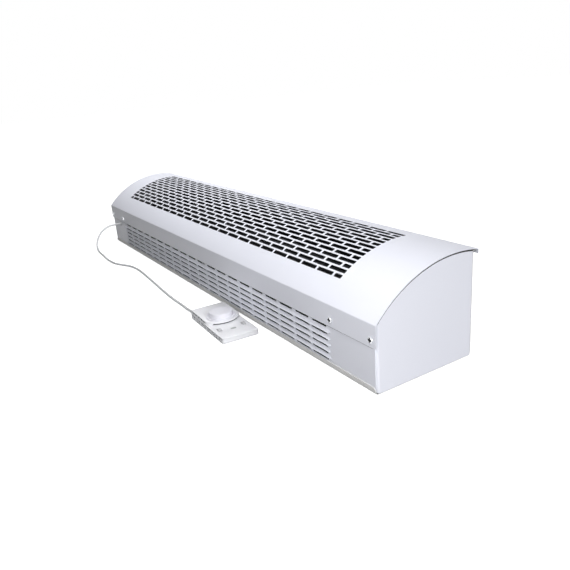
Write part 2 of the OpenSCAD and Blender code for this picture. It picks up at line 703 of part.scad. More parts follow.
module terminal_block() color("ivory") translate([bay_x, block_y, plate_z + sheet_t]) difference() {
  translate([-block_l/2, -block_w/2, 0]) cube([block_l, block_w, block_h]);
  for (i = [-2 : 2]) translate([i*block_l/5.3, 0, 0]) {
    for (y = [-6, 6]) translate([0, y, block_h - 7]) cylinder(d = 5, h = 8);
    translate([0, block_w/2 + over, 5]) rotate([90, 0, 0]) cylinder(d = 4, h = block_w + 2*over);
  }
}

module terminal_screws() color("silver") translate([bay_x, block_y, plate_z + sheet_t + block_h - 4])
  for (i = [-2 : 2], y = [-6, 6]) translate([i*block_l/5.3, y, 0]) rotate([180, 0, 0])
    pan_screw(4.8, 2, 3, 3);

module heater_relay() color("dimgray")
  translate([bay_x - plate_l/2 + relay_l/2, relay_y, plate_z + sheet_t]) {
  translate([-relay_l/2, -relay_w/2, 0]) cube([relay_l, relay_w, relay_h]);
  for (x = [-10, 0, 10]) translate([x - tab_t/2, -tab_w/2, relay_h - eps]) cube([tab_t, tab_w, 8]);
}

module earth_stud() color("goldenrod") translate([bay_x + plate_l/2 - 10, relay_y, plate_z + sheet_t]) {
  cylinder(d = 11, h = 1.2);
  translate([0, 0, 1.2]) cylinder(d = 9, h = 4, $fn = 6);
  cylinder(d = 5, h = 14);
}

// a round lead through straight runs with ball corners
module lead(points, d) for (i = [0 : len(points) - 2]) {
  run = points[i + 1] - points[i];
  translate(points[i]) rotate([0, acos(run.z/norm(run)), atan2(run.y, run.x)]) cylinder(d = d, h = norm(run));
  if (i > 0) translate(points[i]) sphere(d = d);
}
module wiring_loom() color("black") {
  lead([[bay_x, block_y + block_w/2, lead_z], [bay_x, loom_y, lead_z], [bay_x, loom_y, loom_z],
    [motor_x + 26, loom_y, loom_z], [motor_x + 26, loom_y, fan_z],
    [motor_x + 26, fan_y + motor_d/2 + seat_gap, fan_z]], loom_d);
  lead([[cord_x, flange_y + grommet_out, cord_z], [cord_x, block_y - block_w/2 - 20, cord_z],
    [cord_x, block_y - block_w/2 - 20, lead_z], [cord_x, block_y - block_w/2, lead_z]], loom_d - 1);
}

module supply_gland() color("dimgray")
  translate([gland_x, rear_y, gland_z]) rotate([-90, 0, 0]) difference() {
  union() {
    cylinder(d = 24, h = 7, $fn = 6);
    translate([0, 0, -12]) cylinder(d = gland_d, h = 13);
  }
  translate([0, 0, -13]) cylinder(d = gland_bore, h = 26);
}

module gland_nut() color("dimgray") translate([gland_x, rear_in, gland_z]) rotate([90, 0, 0]) difference() {
  cylinder(d = 23, h = 4, $fn = 6);
  translate([0, 0, -over]) cylinder(d = gland_d, h = 4 + 2*over);
}

module gland_cap() color("dimgray")
  translate([gland_x, rear_y + 7, gland_z]) rotate([-90, 0, 0]) difference() {
  union() {
    cylinder(d = 20, h = 6);
    translate([0, 0, 6]) cylinder(d1 = 20, d2 = 15, h = 3.5);
  }
  translate([0, 0, -over]) cylinder(d = gland_bore, h = 12);
}

module control_grommet() color("gray") translate([cord_x, panel_y, cord_z]) rotate([-90, 0, 0]) {
  translate([0, 0, -grommet_out]) cylinder(d1 = cord_d + 4, d2 = cord_d + 6, h = grommet_out);
  cylinder(d = cord_d + 3, h = sheet_t);
  translate([0, 0, sheet_t]) cylinder(d = cord_d + 6, h = grommet_out);
}

// cord: one tube swept along a smooth curve through the route's points

last = len(cord_route) - 1;
function route_at(i) = cord_route[max(0, min(last, i))];
function slope_at(i) = (route_at(i + 1) - route_at(i - 1))/(i == 0 || i == last ? 1 : 2);
function curve_at(i, t) = (2*pow(t, 3) - 3*pow(t, 2) + 1)*route_at(i)
  + (pow(t, 3) - 2*pow(t, 2) + t)*slope_at(i) + (3*pow(t, 2) - 2*pow(t, 3))*route_at(i + 1)
  + (pow(t, 3) - pow(t, 2))*slope_at(i + 1);
cord_points = concat([for (i = [0 : last - 1], t = [0, 0.5]) curve_at(i, t)], [route_at(last)]);
cord_end = len(cord_points) - 1;
function unit(v) = v/norm(v);
function heading(i) = unit(cord_points[min(cord_end, i + 1)] - cord_points[max(0, i - 1)]);
function cord_ring(i) = let (t = heading(i), a = unit(cross(t, [1, 1, -1])), b = cross(t, a))
  [for (j = [0 : cord_sides - 1]) let (turn = j*360/cord_sides)
    cord_points[i] + cord_d/2*(cos(turn)*a + sin(turn)*b)];
module control_cord() color("lightgray") polyhedron(
  points = [for (i = [0 : cord_end], p = cord_ring(i)) p],
  faces = concat([[for (j = [0 : cord_sides - 1]) j]],
    [for (i = [0 : cord_end - 1], j = [0 : cord_sides - 1]) let (a = i*cord_sides, k = (j + 1) % cord_sides)
      [a + j, a + j + cord_sides, a + k + cord_sides, a + k]],
    [[for (j = [cord_sides - 1 : -1 : 0]) cord_end*cord_sides + j]]));

// controller

module on_box() translate([box_x, box_y, 0]) rotate(box_turn) children();

// outline of the raised deck: straight sides and a round front, each edge drawn in by i
module deck_outline(i) intersection() {
  square([box_l, box_w - 2*deck_in - 2*i], center = true);
  union() {
    translate([-box_l/2 + deck_in + i, -box_w/2]) square([box_l/2 + deck_u - deck_in - i, box_w]);
    translate([deck_u, 0]) circle(r = deck_r - i, $fn = 120);
  }
}

// a row of upright vents in both long sides: the first one's place, their height and how deep they are
module side_vents(count, u, z, h, depth) for (v = [-box_w/2 - over, box_w/2 - depth], i = [0 : count - 1])
  translate([u + i*vent_pitch, v, z]) cube([vent_pitch - vent_fin, depth + over, h]);

module box_screw_spots() for (s = [-1, 1]) translate([s*box_screw_u, 0, 0]) children();

// bosses under the cover: one reaches the lower deck, the other the raised deck
module cover_bosses() for (b = [[1, box_low_h], [-1, box_high_h]])
  translate([b[0]*box_screw_u, 0, box_base_h]) cylinder(d = 6.6, h = b[1] - box_base_h - box_t/2);

// the hole for the cord's bush, half in the base and half in the cover
module bush_hole() translate([-box_l/2 - over, bush_v, bush_z]) rotate([0, 90, 0])
  cylinder(d = cord_d + 2, h = box_t + 2*over);

module control_base() color("whitesmoke") on_box() difference() {
  union() {
    difference() {
      linear_extrude(box_base_h) round_rect(box_l, box_w, box_r);
      translate([0, 0, box_floor]) linear_extrude(box_base_h)
        round_rect(box_l - 2*box_t, box_w - 2*box_t, box_r - box_t);
    }
    box_screw_spots() cylinder(d = 8.6, h = box_base_h);
    for (u = [-1, 1], v = [-1, 1]) translate([u*(box_l/2 - 12), v*(box_w/2 - 8), 0])
      cylinder(d = 5, h = board_z);
  }
  box_screw_spots() {
    translate([0, 0, -over]) cylinder(d = 6.4, h = over + 2);
    cylinder(d = box_screw_d + 0.3, h = box_base_h + over);
  }
  for (s = [-1, 1]) translate([s*box_fix_l/2, 0, -over]) cylinder(d = box_fix_d, h = box_floor + 2*over);
  side_vents(low_vents, low_vent_u, box_base_h - 0.6 - base_vent_h, base_vent_h, box_t + eps);
  bush_hole();
}

module control_cover() color("white") on_box() difference() {
  union() {
    difference() {
      union() {
        translate([0, 0, box_base_h]) linear_extrude(box_low_h - box_base_h)
          round_rect(box_l - 2*cover_in, box_w - 2*cover_in, box_r);
        translate([0, 0, box_base_h]) linear_extrude(box_high_h - box_base_h) deck_outline(0);
      }
      translate([0, 0, box_base_h - over]) linear_extrude(box_low_h - box_base_h - box_t + over)
        round_rect(box_l - 2*box_t - 2*cover_in, box_w - 2*box_t - 2*cover_in, box_r - box_t);
      translate([0, 0, box_base_h - over]) linear_extrude(box_high_h - box_base_h - box_t + over)
        deck_outline(box_t);
    }
    cover_bosses();
  }
  box_screw_spots() translate([0, 0, box_base_h - over]) cylinder(d = box_screw_d, h = 2.6 + over);
  translate([dial_u, 0, box_low_h]) cylinder(d = stem_d + 2*free_gap, h = box_high_h);
  for (v = [-1, 1]) translate([switch_u, v*switch_v, box_low_h])
    cube([slider_l + 2*switch_travel + 2*free_gap, slider_w + 2*free_gap, 3*box_t], center = true);
  translate([lens_u, 0, box_low_h]) cube([lens_l, lens_w, 3*box_t], center = true);
  side_vents(low_vents, low_vent_u, box_base_h + 0.5, box_low_h - box_base_h - box_t - 0.6,
    cover_in + box_t + eps);
  side_vents(deck_vents, deck_vent_u, box_low_h + 0.3, deck_vent_h, deck_in + box_t + eps);
  translate([deck_u, 0, box_low_h + 0.4]) rotate(slot_turn[0])
    rotate_extrude(angle = slot_turn[1] - slot_turn[0], $fn = 120)
      translate([deck_r - box_t - 0.5, 0]) square([box_t + over, deck_slot_h]);
  bush_hole();
}

// strain relief: meets the cord outside the wall and is held by a collar inside it
module control_bush() color("lightgray") on_box() translate([-box_l/2, bush_v, bush_z]) rotate([0, 90, 0]) {
  translate([0, 0, -bush_out]) cylinder(d1 = cord_d + 1, d2 = cord_d + 3, h = bush_out);
  cylinder(d = cord_d + 2, h = box_t);
  translate([0, 0, box_t]) cylinder(d = cord_d - 0.4, h = 2);
}

module dial_knob() color("white") on_box() translate([dial_u, 0, box_high_h + seat_gap]) difference() {
  union() {
    cylinder(d = dial_d, h = skirt_h);
    translate([0, 0, skirt_h - eps])
      cylinder(d1 = dial_cap_d, d2 = dial_cap_d - dial_taper, h = dial_h - skirt_h + eps);
  }
  translate([0, 0, -over]) cylinder(d = stem_d, h = stem_in + over);
  translate([dial_cap_d/2 + 0.6, -0.5, skirt_h - 0.6]) cube([3, 1, 2]);
}

module dial_stem() color("silver") on_box() translate([dial_u, 0, stem_low])
  cylinder(d = stem_d, h = box_high_h + seat_gap + stem_in - stem_low);

module thermostat_body() color("dimgray") on_box() translate([dial_u, 0, board_z + board_t]) difference() {
  union() {
    translate([-13, -11, 0]) cube([26, 22, 5.4]);
    cylinder(d = 11, h = 7.6);
  }
  translate([0, 0, stem_low - board_z - board_t - seat_gap]) cylinder(d = stem_d + 2*shaft_play, h = 9);
}

module slider(v) color("lightgray") on_box() translate([switch_u, v*switch_v, 0]) difference() {
  translate([-slider_l/2, -slider_w/2, switch_top + seat_gap])
    cube([slider_l, slider_w, box_low_h + slider_out - switch_top - seat_gap]);
  for (u = [-2, 0, 2]) translate([u - 0.3, -slider_w, box_low_h + slider_out - 0.6])
    cube([0.6, 2*slider_w, 2]);
}
module fan_switch() slider(-1);
module heat_switch() slider(1);

module switch_bodies() color("dimgray") on_box() for (v = [-1, 1])
  translate([switch_u, v*switch_v, (board_z + board_t + switch_top)/2])
    cube([16, 8, switch_top - board_z - board_t], center = true);

module power_lens() color("palegreen") on_box() translate([lens_u - lens_l/2, -lens_w/2, board_z + board_t])
  cube([lens_l, lens_w, box_low_h + 0.4 - board_z - board_t]);

module control_board() color("darkgreen") on_box() translate([0, 0, board_z]) difference() {
  translate([-box_l/2 + box_t + 5, -box_w/2 + box_t + 1, 0])
    cube([box_l - 2*box_t - 10, box_w - 2*box_t - 2, board_t]);
  box_screw_spots() translate([0, 0, -over]) cylinder(d = 9.6, h = board_t + 2*over);
}

module control_screws() color("silver") on_box() box_screw_spots() translate([0, 0, 2])
  pan_screw(5.6, 1.7, box_screw_d, 5.4);

base_tray();
end_plate_left();
end_plate_right();
intake_cover();
outlet_panel();
cover_screws();
end_plate_screws();
bulkhead_left();
bulkhead_right();
scroll_guide();
vortex_tongue();
fan_blades();
fan_discs();
fan_hub();
idle_shaft();
idle_bearing();
bearing_ring();
bearing_clamp();
clamp_screws();
motor_core();
motor_windings();
motor_bell_front();
motor_bell_rear();
motor_armature();
motor_shaft();
motor_bushes();
motor_rings();
motor_bracket();
bracket_screws();
motor_capacitor();
capacitor_clip();
heater_elements();
heater_bushes();
heater_tabs();
heater_support();
thermal_cutout();
electrics_plate();
terminal_block();
terminal_screws();
heater_relay();
earth_stud();
wiring_loom();
supply_gland();
gland_nut();
gland_cap();
control_grommet();
control_cord();
control_base();
control_cover();
control_bush();
dial_knob();
dial_stem();
thermostat_body();
fan_switch();
heat_switch();
switch_bodies();
power_lens();
control_board();
control_screws();
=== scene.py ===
import bmesh
import bpy
import numpy as np
from mathutils import Matrix


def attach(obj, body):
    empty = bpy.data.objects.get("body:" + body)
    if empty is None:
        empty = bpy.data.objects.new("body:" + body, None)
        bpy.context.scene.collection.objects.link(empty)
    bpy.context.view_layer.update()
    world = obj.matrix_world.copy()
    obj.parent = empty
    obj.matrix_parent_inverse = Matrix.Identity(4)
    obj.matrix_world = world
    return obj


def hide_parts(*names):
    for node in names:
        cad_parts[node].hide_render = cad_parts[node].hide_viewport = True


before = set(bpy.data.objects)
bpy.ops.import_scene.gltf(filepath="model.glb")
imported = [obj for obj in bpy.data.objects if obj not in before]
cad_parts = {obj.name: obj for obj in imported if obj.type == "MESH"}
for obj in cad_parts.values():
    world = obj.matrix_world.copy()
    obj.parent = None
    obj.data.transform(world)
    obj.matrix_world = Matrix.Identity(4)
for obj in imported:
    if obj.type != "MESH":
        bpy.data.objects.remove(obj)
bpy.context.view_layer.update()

# Air curtain with its wired wall controller. Metres; X along the casing, the outlet faces -Y, +Z up.


# A new object in the scene with this data.
def placed(name, data):
    obj = bpy.data.objects.new(name, data)
    bpy.context.scene.collection.objects.link(obj)
    return obj


# Sets several properties of one thing.
def adjusted(thing, **props):
    for key, value in props.items():
        setattr(thing, key, value)
    return thing


# Each row at length 1.
def unit(vectors):
    return vectors / np.linalg.norm(vectors, axis=-1, keepdims=True)


# Puts an object at its place with +Z along back, so that it looks the other way; x is level before roll.
def aimed(obj, place, back, roll=0.0):
    back = unit(back)
    right = unit(np.cross([0, 0, 1], back))
    up = np.cross(back, right)
    right, up = np.cos(roll) * right + np.sin(roll) * up, np.cos(roll) * up - np.sin(roll) * right
    turn = Matrix(np.column_stack([right, up, back]).tolist()).to_4x4()
    obj.matrix_world = Matrix.Translation(place) @ turn


camera = dict(
    place=(1.03795, -0.51198, 0.39256),
    azimuth=58.953,      # degrees round from looking along +Y
    elevation=19.727,
    roll=-4.6576,
    lens=37.157,         # mm on a 36 mm sensor
)


# The view direction comes from the two angles; roll then turns the picture about it.
def placeCamera(c):
    az, el, roll = np.radians([c["azimuth"], c["elevation"], c["roll"]])
    data = adjusted(bpy.data.cameras.new("photoCamera"), lens=c["lens"], sensor_width=36, clip_start=0.01)
    obj = placed("photoCamera", data)
    aimed(obj, c["place"], [np.sin(az) * np.cos(el), -np.cos(az) * np.cos(el), np.sin(el)], roll)
    bpy.context.scene.camera = obj


placeCamera(camera)
print("camera placed")


# The node tree of a material or of the world. Each call adds a node, with its inputs in order or by
# name; a number or colour is set and a socket is linked.
class Shader:
    def __init__(self, owner, output="ShaderNodeOutputMaterial"):
        self.owner = owner
        owner.use_nodes = True
        self.tree = owner.node_tree
        self.tree.nodes.clear()
        self.out = self.add(output)
        self.place = self.add("ShaderNodeTexCoord").outputs["Object"]

    def add(self, kind, *values, props=None, **named):
        node = adjusted(self.tree.nodes.new(kind), **(props or {}))
        for key, value in (*enumerate(values), *named.items()):
            self.feed(node, key, value)
        return node

    def feed(self, node, key, value):
        socket = node.inputs[key.replace("_", " ") if isinstance(key, str) else key]
        if isinstance(value, bpy.types.NodeSocket):
            self.tree.links.new(value, socket)
        else:
            socket.default_value = value

    def noise(self, scale, detail=3.0, rough=0.55):
        return self.add("ShaderNodeTexNoise", Vector=self.place, Scale=scale,
                        Detail=detail, Roughness=rough).outputs["Fac"]

    # Straight line from low..high to toLow..toHigh, held at both ends.
    def ramp(self, value, low, high, toLow=0.0, toHigh=1.0):
        return self.add("ShaderNodeMapRange", value, low, high, toLow, toHigh).outputs["Result"]

    # From colour a at factor 0 to colour b at factor 1.
    def blend(self, factor, a, b):
        node = self.add("ShaderNodeMix", factor, props=dict(data_type="RGBA"))
        for key, value in ((6, a), (7, b)):
            self.feed(node, key, value if isinstance(value, bpy.types.NodeSocket) else (*value, 1))
        return node.outputs[2]

    def math(self, operation, a, b):
        return self.add("ShaderNodeMath", a, b, props=dict(operation=operation)).outputs[0]

    # 1 for the camera's rays and those through glass, gloss for mirrored ones and 0 for the rest.
    def shown(self, gloss):
        path = self.add("ShaderNodeLightPath").outputs
        mirrored = self.math("MULTIPLY", path["Is Glossy Ray"], gloss)
        return self.math("MAXIMUM", self.math("MAXIMUM", path["Is Camera Ray"], mirrored),
                         path["Is Transmission Ray"])

    def bump(self, height, distance):
        return self.add("ShaderNodeBump", Height=height, Distance=distance, Strength=1.0).outputs[0]

    def surface(self, colour, rough, normal, **sockets):
        node = self.add("ShaderNodeBsdfPrincipled", Base_Color=colour, Roughness=rough, Normal=normal,
                        **sockets)
        self.feed(self.out, "Surface", node.outputs[0])
        return self.owner


look = dict(
    clouds=(0.3, 0.7),    # noise at which the first and the second tone are pure
    specks=(0.62, 0.72),  # noise at which a speck starts and is full
    speckTone=0.35,       # of the first tone
    speckScale=0.35,      # of the grain's scale
    grainShare=0.3,       # of the grain in the roughness
    roughSpan=(0.35, 0.9),
    bandSmear=40.0,       # scale of the noise that dulls bands
    bandDullest=0.7,
)


# Two tones that drift in soft clouds, a fine grain in the bump, roughness that drifts with
# the clouds and, where speck is set, a few fine darker specks. Where a shade tone is given, it is painted
# shade: the colour goes over to that tone as the mesh's painted-shade value goes from 0 to 1.
def grained(name, tones, cloud=9.0, rough=(0.4, 0.5), grain=900.0, depth=0.00004, speck=0.0, paintedShadeTone=None,
            **sockets):
    s = Shader(bpy.data.materials.new(name))
    clouds = s.noise(cloud, 4.0)
    fine = s.noise(grain, 2.0, 0.6)
    colour = s.blend(s.ramp(clouds, *look["clouds"]), *tones)
    # Painted shade: recesses, inner faces and cut walls are darkened towards the shade tone.
    if paintedShadeTone:
        paintedShade = s.add("ShaderNodeAttribute", props=dict(attribute_name="paintedShade")).outputs["Fac"]
        colour = s.blend(paintedShade, colour, paintedShadeTone)
    if speck:
        specks = s.ramp(s.noise(grain * look["speckScale"], 1.0, 0.5), *look["specks"], 0, speck)
        colour = s.blend(specks, colour, tuple(look["speckTone"] * c for c in tones[0]))
    mixed = s.math("ADD", clouds, s.math("MULTIPLY", fine, look["grainShare"]))
    roughness = s.ramp(mixed, *look["roughSpan"], *rough)
    return s.surface(colour, roughness, s.bump(fine, depth), **sockets)


# Fine turns or plates across one axis: a wave with that pitch gives bands of tone and bump. At scale 1
# the wave repeats every pi / 10.
def banded(name, tones, pitch, axis, rough=(0.35, 0.5), depth=0.0002, **sockets):
    s = Shader(bpy.data.materials.new(name))
    wave = s.add("ShaderNodeTexWave", props=dict(bands_direction=axis), Vector=s.place,
                 Scale=np.pi / 10 / pitch, Distortion=1.5, Detail=2.0).outputs["Fac"]
    smear = s.ramp(s.noise(look["bandSmear"]), *look["clouds"], look["bandDullest"], 1.0)
    colour = s.blend(s.math("MULTIPLY", wave, smear), *tones)
    return s.surface(colour, s.ramp(wave, 0, 1, *rough), s.bump(wave, depth), **sockets)


# One finish for each material slot of the record.
finishes = dict(
    # The coats and the zinc carry a near-black tone for painted shade where a mesh marks it.
    white_coat=grained("whiteCoat", ((0.815, 0.83, 0.915), (0.845, 0.86, 0.94)), 3.0, (0.36, 0.44), 650,
                       0.00003, paintedShadeTone=(0.012, 0.012, 0.013), Specular_IOR_Level=0.3),
    tray_coat=grained("trayCoat", ((0.70, 0.70, 0.69), (0.75, 0.75, 0.745)), 5.0, (0.38, 0.5), 700, 0.00003,
                      paintedShadeTone=(0.012, 0.012, 0.013), Specular_IOR_Level=0.3),
    zinc_steel=grained("zincSteel", ((0.62, 0.63, 0.65), (0.74, 0.75, 0.77)), 200.0, (0.25, 0.4), 2500,
                       0.00001, paintedShadeTone=(0.015, 0.015, 0.017), Metallic=1.0),
    # Near-black coats of the inside and the fan: partly their coat, kept this dark as painted shade for the
    # inside seen through the slots.
    inner_coat=grained("innerCoatAndShade", ((0.030, 0.031, 0.033), (0.045, 0.046, 0.048)), 25.0, (0.4, 0.55), 900,
                       0.00003),
    fan_coat=grained("fanCoatAndShade", ((0.022, 0.023, 0.026), (0.035, 0.036, 0.04)), 30.0, (0.4, 0.55), 1500,
                     0.00001),
    rubber=grained("rubber", ((0.02, 0.02, 0.021), (0.035, 0.035, 0.036)), 60.0, (0.65, 0.85), 1500, 0.00003),
    bronze=grained("bronze", ((0.50, 0.33, 0.17), (0.62, 0.43, 0.24)), 150.0, (0.35, 0.5), 2500, 0.00002,
                   speck=0.5, Metallic=1.0),
    motor_steel=banded("laminatedSteel", ((0.10, 0.105, 0.11), (0.20, 0.205, 0.21)), 0.0006, "X",
                       Metallic=1.0),
    bell_metal=grained("bellMetal", ((0.42, 0.43, 0.44), (0.52, 0.53, 0.54)), 40.0, (0.4, 0.55), 1100,
                       0.00005, Metallic=1.0),
    copper=banded("windingWire", ((0.30, 0.09, 0.035), (0.62, 0.25, 0.10)), 0.0007, "Y", (0.2, 0.35), 0.0002,
                  Metallic=0.8),
    capacitor_case=grained("capacitorCase", ((0.60, 0.60, 0.58), (0.66, 0.66, 0.64)), 40.0),
    heater_steel=grained("heaterSteel", ((0.045, 0.045, 0.048), (0.10, 0.095, 0.09)), 25.0, (0.4, 0.6), 1600,
                         0.00002, Metallic=0.7),
    ceramic=grained("ceramic", ((0.66, 0.63, 0.57), (0.74, 0.71, 0.66)), 90.0, (0.5, 0.7), 1400, 0.00003,
                    speck=0.4),
    cutout_body=grained("cutoutBody", ((0.03, 0.03, 0.032), (0.045, 0.045, 0.048)), 70.0, (0.4, 0.55), 1200),
    terminal_nylon=grained("terminalNylon", ((0.62, 0.60, 0.52), (0.68, 0.66, 0.58)), 50.0, (0.45, 0.6), 900),
    relay_case=grained("relayCase", ((0.03, 0.035, 0.045), (0.045, 0.05, 0.06)), 50.0, (0.3, 0.45), 1000),
    loom_black=grained("loomSleeve", ((0.012, 0.012, 0.013), (0.025, 0.025, 0.026)), 60.0, (0.5, 0.7), 900,
                       0.0002),
    gland_nylon=grained("glandNylon", ((0.10, 0.10, 0.105), (0.13, 0.13, 0.135)), 60.0, (0.4, 0.55), 900),
    cord_sheath=grained("cordSheath", ((0.56, 0.57, 0.59), (0.62, 0.63, 0.65)), 30.0, (0.35, 0.5), 900),
    controller_white=grained("controllerPlastic", ((0.73, 0.735, 0.765), (0.77, 0.775, 0.805)), 15.0,
                             (0.38, 0.48), 1400),
    dial_white=grained("dialPlastic", ((0.69, 0.69, 0.745), (0.73, 0.73, 0.785)), 20.0, (0.35, 0.45), 1600,
                       0.00003),
    slider_grey=grained("sliderPlastic", ((0.50, 0.505, 0.52), (0.56, 0.565, 0.58)), 60.0, (0.4, 0.5), 1500),
    lens=grained("lampLens", ((0.42, 0.44, 0.44), (0.50, 0.52, 0.52)), 90.0, (0.12, 0.2), 900, 0.00001),
    board=grained("circuitBoard", ((0.01, 0.06, 0.025), (0.02, 0.09, 0.04)), 120.0, (0.3, 0.5), 1500),
)
print(len(finishes), "materials made")


# Points closer than a micrometre become one; unused points are dropped.
def weld(points, faces):
    key = np.round(points * 1e6).astype(np.int64)
    _, first, new = np.unique(key, axis=0, return_index=True, return_inverse=True)
    new = new.ravel()
    faces = [new[f] for f in faces]
    used = np.unique(np.concatenate([f.ravel() for f in faces]))
    short = np.full(len(first), -1)
    short[used] = np.arange(len(used))
    return first[used], [short[f] for f in faces]


# The wall of a sheet: inner point = outer point - wall * normal, and a strip along every open edge,
# whose edges rounding draws in. Points: outer face, inner face, the strip's outer and its inner edge.
def thicken(points, normals, faces, wall, rounding=0.0):
    n = len(points)
    start = np.concatenate([f.ravel() for f in faces])
    end = np.concatenate([np.roll(f, -1, 1).ravel() for f in faces])
    edge = ~np.isin(start * n + end, end * n + start)
    a, b = start[edge], end[edge]
    inner = points - wall * normals
    outer = points.copy()
    extra = []
    if rounding:
        inward = np.cross(normals[a], unit(points[b] - points[a]))
        total, count = np.zeros((n, 3)), np.zeros(n)
        for ends in (a, b):
            np.add.at(total, ends, inward)
            np.add.at(count, ends, 1)
        touched = np.unique(np.concatenate([a, b]))
        half = total[touched] / count[touched, None]
        half /= np.maximum(np.sum(half**2, 1, keepdims=True), 0.5)  # mitre, so corners keep their inset
        outer[touched] += rounding * half
        inner[touched] += rounding * half
        rim = np.zeros(n, int)
        rim[touched] = np.arange(len(touched))
        m = len(touched)
        extra = [points[touched] - depth * normals[touched] for depth in (rounding, wall - rounding)]
        ra, rb = 2 * n + rim[a], 2 * n + rim[b]
        loops = ((b, a, ra, rb), (rb, ra, ra + m, rb + m), (rb + m, ra + m, a + n, b + n))
        strips = [np.column_stack(loop) for loop in loops]
    else:
        strips = [np.column_stack([b, a, a + n, b + n])]
    return np.concatenate([outer, inner, *extra]), faces + [f + n for f in turnedOver(faces)] + strips


# Quads between neighbouring points of a grid; closed joins the last column to the first, and ring the
# last row to the first.
def gridFaces(rows, columns, closed=False, ring=False, start=0):
    grid = np.arange(rows * columns).reshape(rows, columns) + start
    if closed:
        grid = np.column_stack([grid, grid[:, 0]])
    if ring:
        grid = np.concatenate([grid, grid[:1]])
    return np.stack([grid[:-1, :-1], grid[:-1, 1:], grid[1:, 1:], grid[1:, :-1]], -1).reshape(-1, 4)


# Flat faces over the first and the last row of a closed grid.
def endCaps(rows, columns):
    first = np.arange(columns)[None]
    return [first[:, ::-1], first + (rows - 1) * columns]


# The same faces, seen from their other side.
def turnedOver(faces):
    return [f[:, ::-1] for f in faces]


# Puts a mesh in the scene with its finish, its body and the nodes that it replaces.
def finished(name, mesh, slot, replaced, body="root"):
    mesh.materials.clear()
    mesh.materials.append(finishes[slot])
    obj = placed(name, mesh)
    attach(obj, body)
    if replaced:
        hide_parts(*replaced)
    return obj


# A piece from arrays, shaded smooth up to the crease angle. Its optional point values of painted shade (0
# none, 1 full) go into a mesh attribute.
def makePiece(name, points, faces, slot, replaced=(), body="root", crease=32, paintedShade=None):
    mesh = bpy.data.meshes.new(name)
    mesh.from_pydata(np.asarray(points).tolist(), [], [f for g in faces for f in g.tolist()])
    mesh.validate()
    mesh.shade_smooth()
    mesh.set_sharp_from_angle(angle=np.radians(crease))
    if paintedShade is not None:
        mesh.attributes.new("paintedShade", "FLOAT", "POINT").data.foreach_set("value", paintedShade)
    return finished(name, mesh, slot, replaced, body)


# Rings of points round Z, one for each row of reach and height.
def ringPoints(reach, height, turn):
    spots = np.broadcast_arrays(reach * np.cos(turn), reach * np.sin(turn), height)
    return np.stack(spots, -1).reshape(-1, 3)


# A profile of (radius, height) carried round Z. No radius passes limit(angle), which gives flats, and
# ribs cut in by depth * |sin| between the two heights. The ends are closed with flat faces, or the
# last ring joins the first.
def lathe(profile, sides, limit=None, closed=False, ribs=None):
    profile = np.asarray(profile, float)
    turn = np.arange(sides) * 2 * np.pi / sides
    reach = np.repeat(profile[:, :1], sides, 1)
    if limit:
        reach = np.minimum(reach, limit(turn))
    if ribs:
        count, depth, low, high = ribs
        ribbed = ((profile[:, 1] > low) & (profile[:, 1] < high))[:, None]
        reach = reach - depth * np.abs(np.sin(turn * count / 2)) * ribbed
    rows = len(profile)
    faces = [gridFaces(rows, sides, True, ring=closed)]
    return ringPoints(reach, profile[:, 1:], turn), faces if closed else faces + endCaps(rows, sides)


# Turns a shape made along +Z so that it points along axis, and puts it at centre.
def onAxis(points, centre, axis):
    z = unit(axis)
    x = unit(np.cross([0, 1, 0] if abs(z[1]) < 0.9 else [1, 0, 0], z))
    return points @ np.array([x, np.cross(z, x), z]) + np.array(centre)


# Several shapes, each as (points, faces), as one.
def join(parts):
    points, faces, count = [], [], 0
    for p, f in parts:
        points.append(p)
        faces += [g + count for g in f]
        count += len(p)
    return np.concatenate(points), faces


# A box between its lowest and its highest corner.
def makeBox(low, high):
    (x0, y0, z0), (x1, y1, z1) = low, high
    corners = [(x, y, z) for z in (z0, z1) for x, y in ((x0, y0), (x1, y0), (x1, y1), (x0, y1))]
    sides = [[0, 3, 2, 1], [4, 5, 6, 7], [0, 1, 5, 4], [1, 2, 6, 5], [2, 3, 7, 6], [3, 0, 4, 7]]
    return np.array(corners), [np.array(sides)]


# A line that runs straight or turns: run = (length, radius), radius above 0 turning right, below 0
# turning left, and 0 straight. Gives the point and the left-hand normal at each distance s.
def foldedPath(start, heading, runs, s):
    s = np.asarray(s, float)
    point = np.tile(np.array(start, float), (len(s), 1))
    angle = np.full(len(s), float(heading))
    done, last = 0.0, len(runs) - 1
    for k, (length, radius) in enumerate(runs):
        part = s - done if k == last else np.clip(s - done, 0, length)
        part = np.maximum(part, 0) if k else part
        if radius:
            new = angle - part / radius
            point += radius * np.column_stack([np.sin(angle) - np.sin(new), np.cos(new) - np.cos(angle)])
            angle = new
        else:
            point += part[:, None] * np.column_stack([np.cos(angle), np.sin(angle)])
        done += length
    return point, np.column_stack([-np.sin(angle), np.cos(angle)])


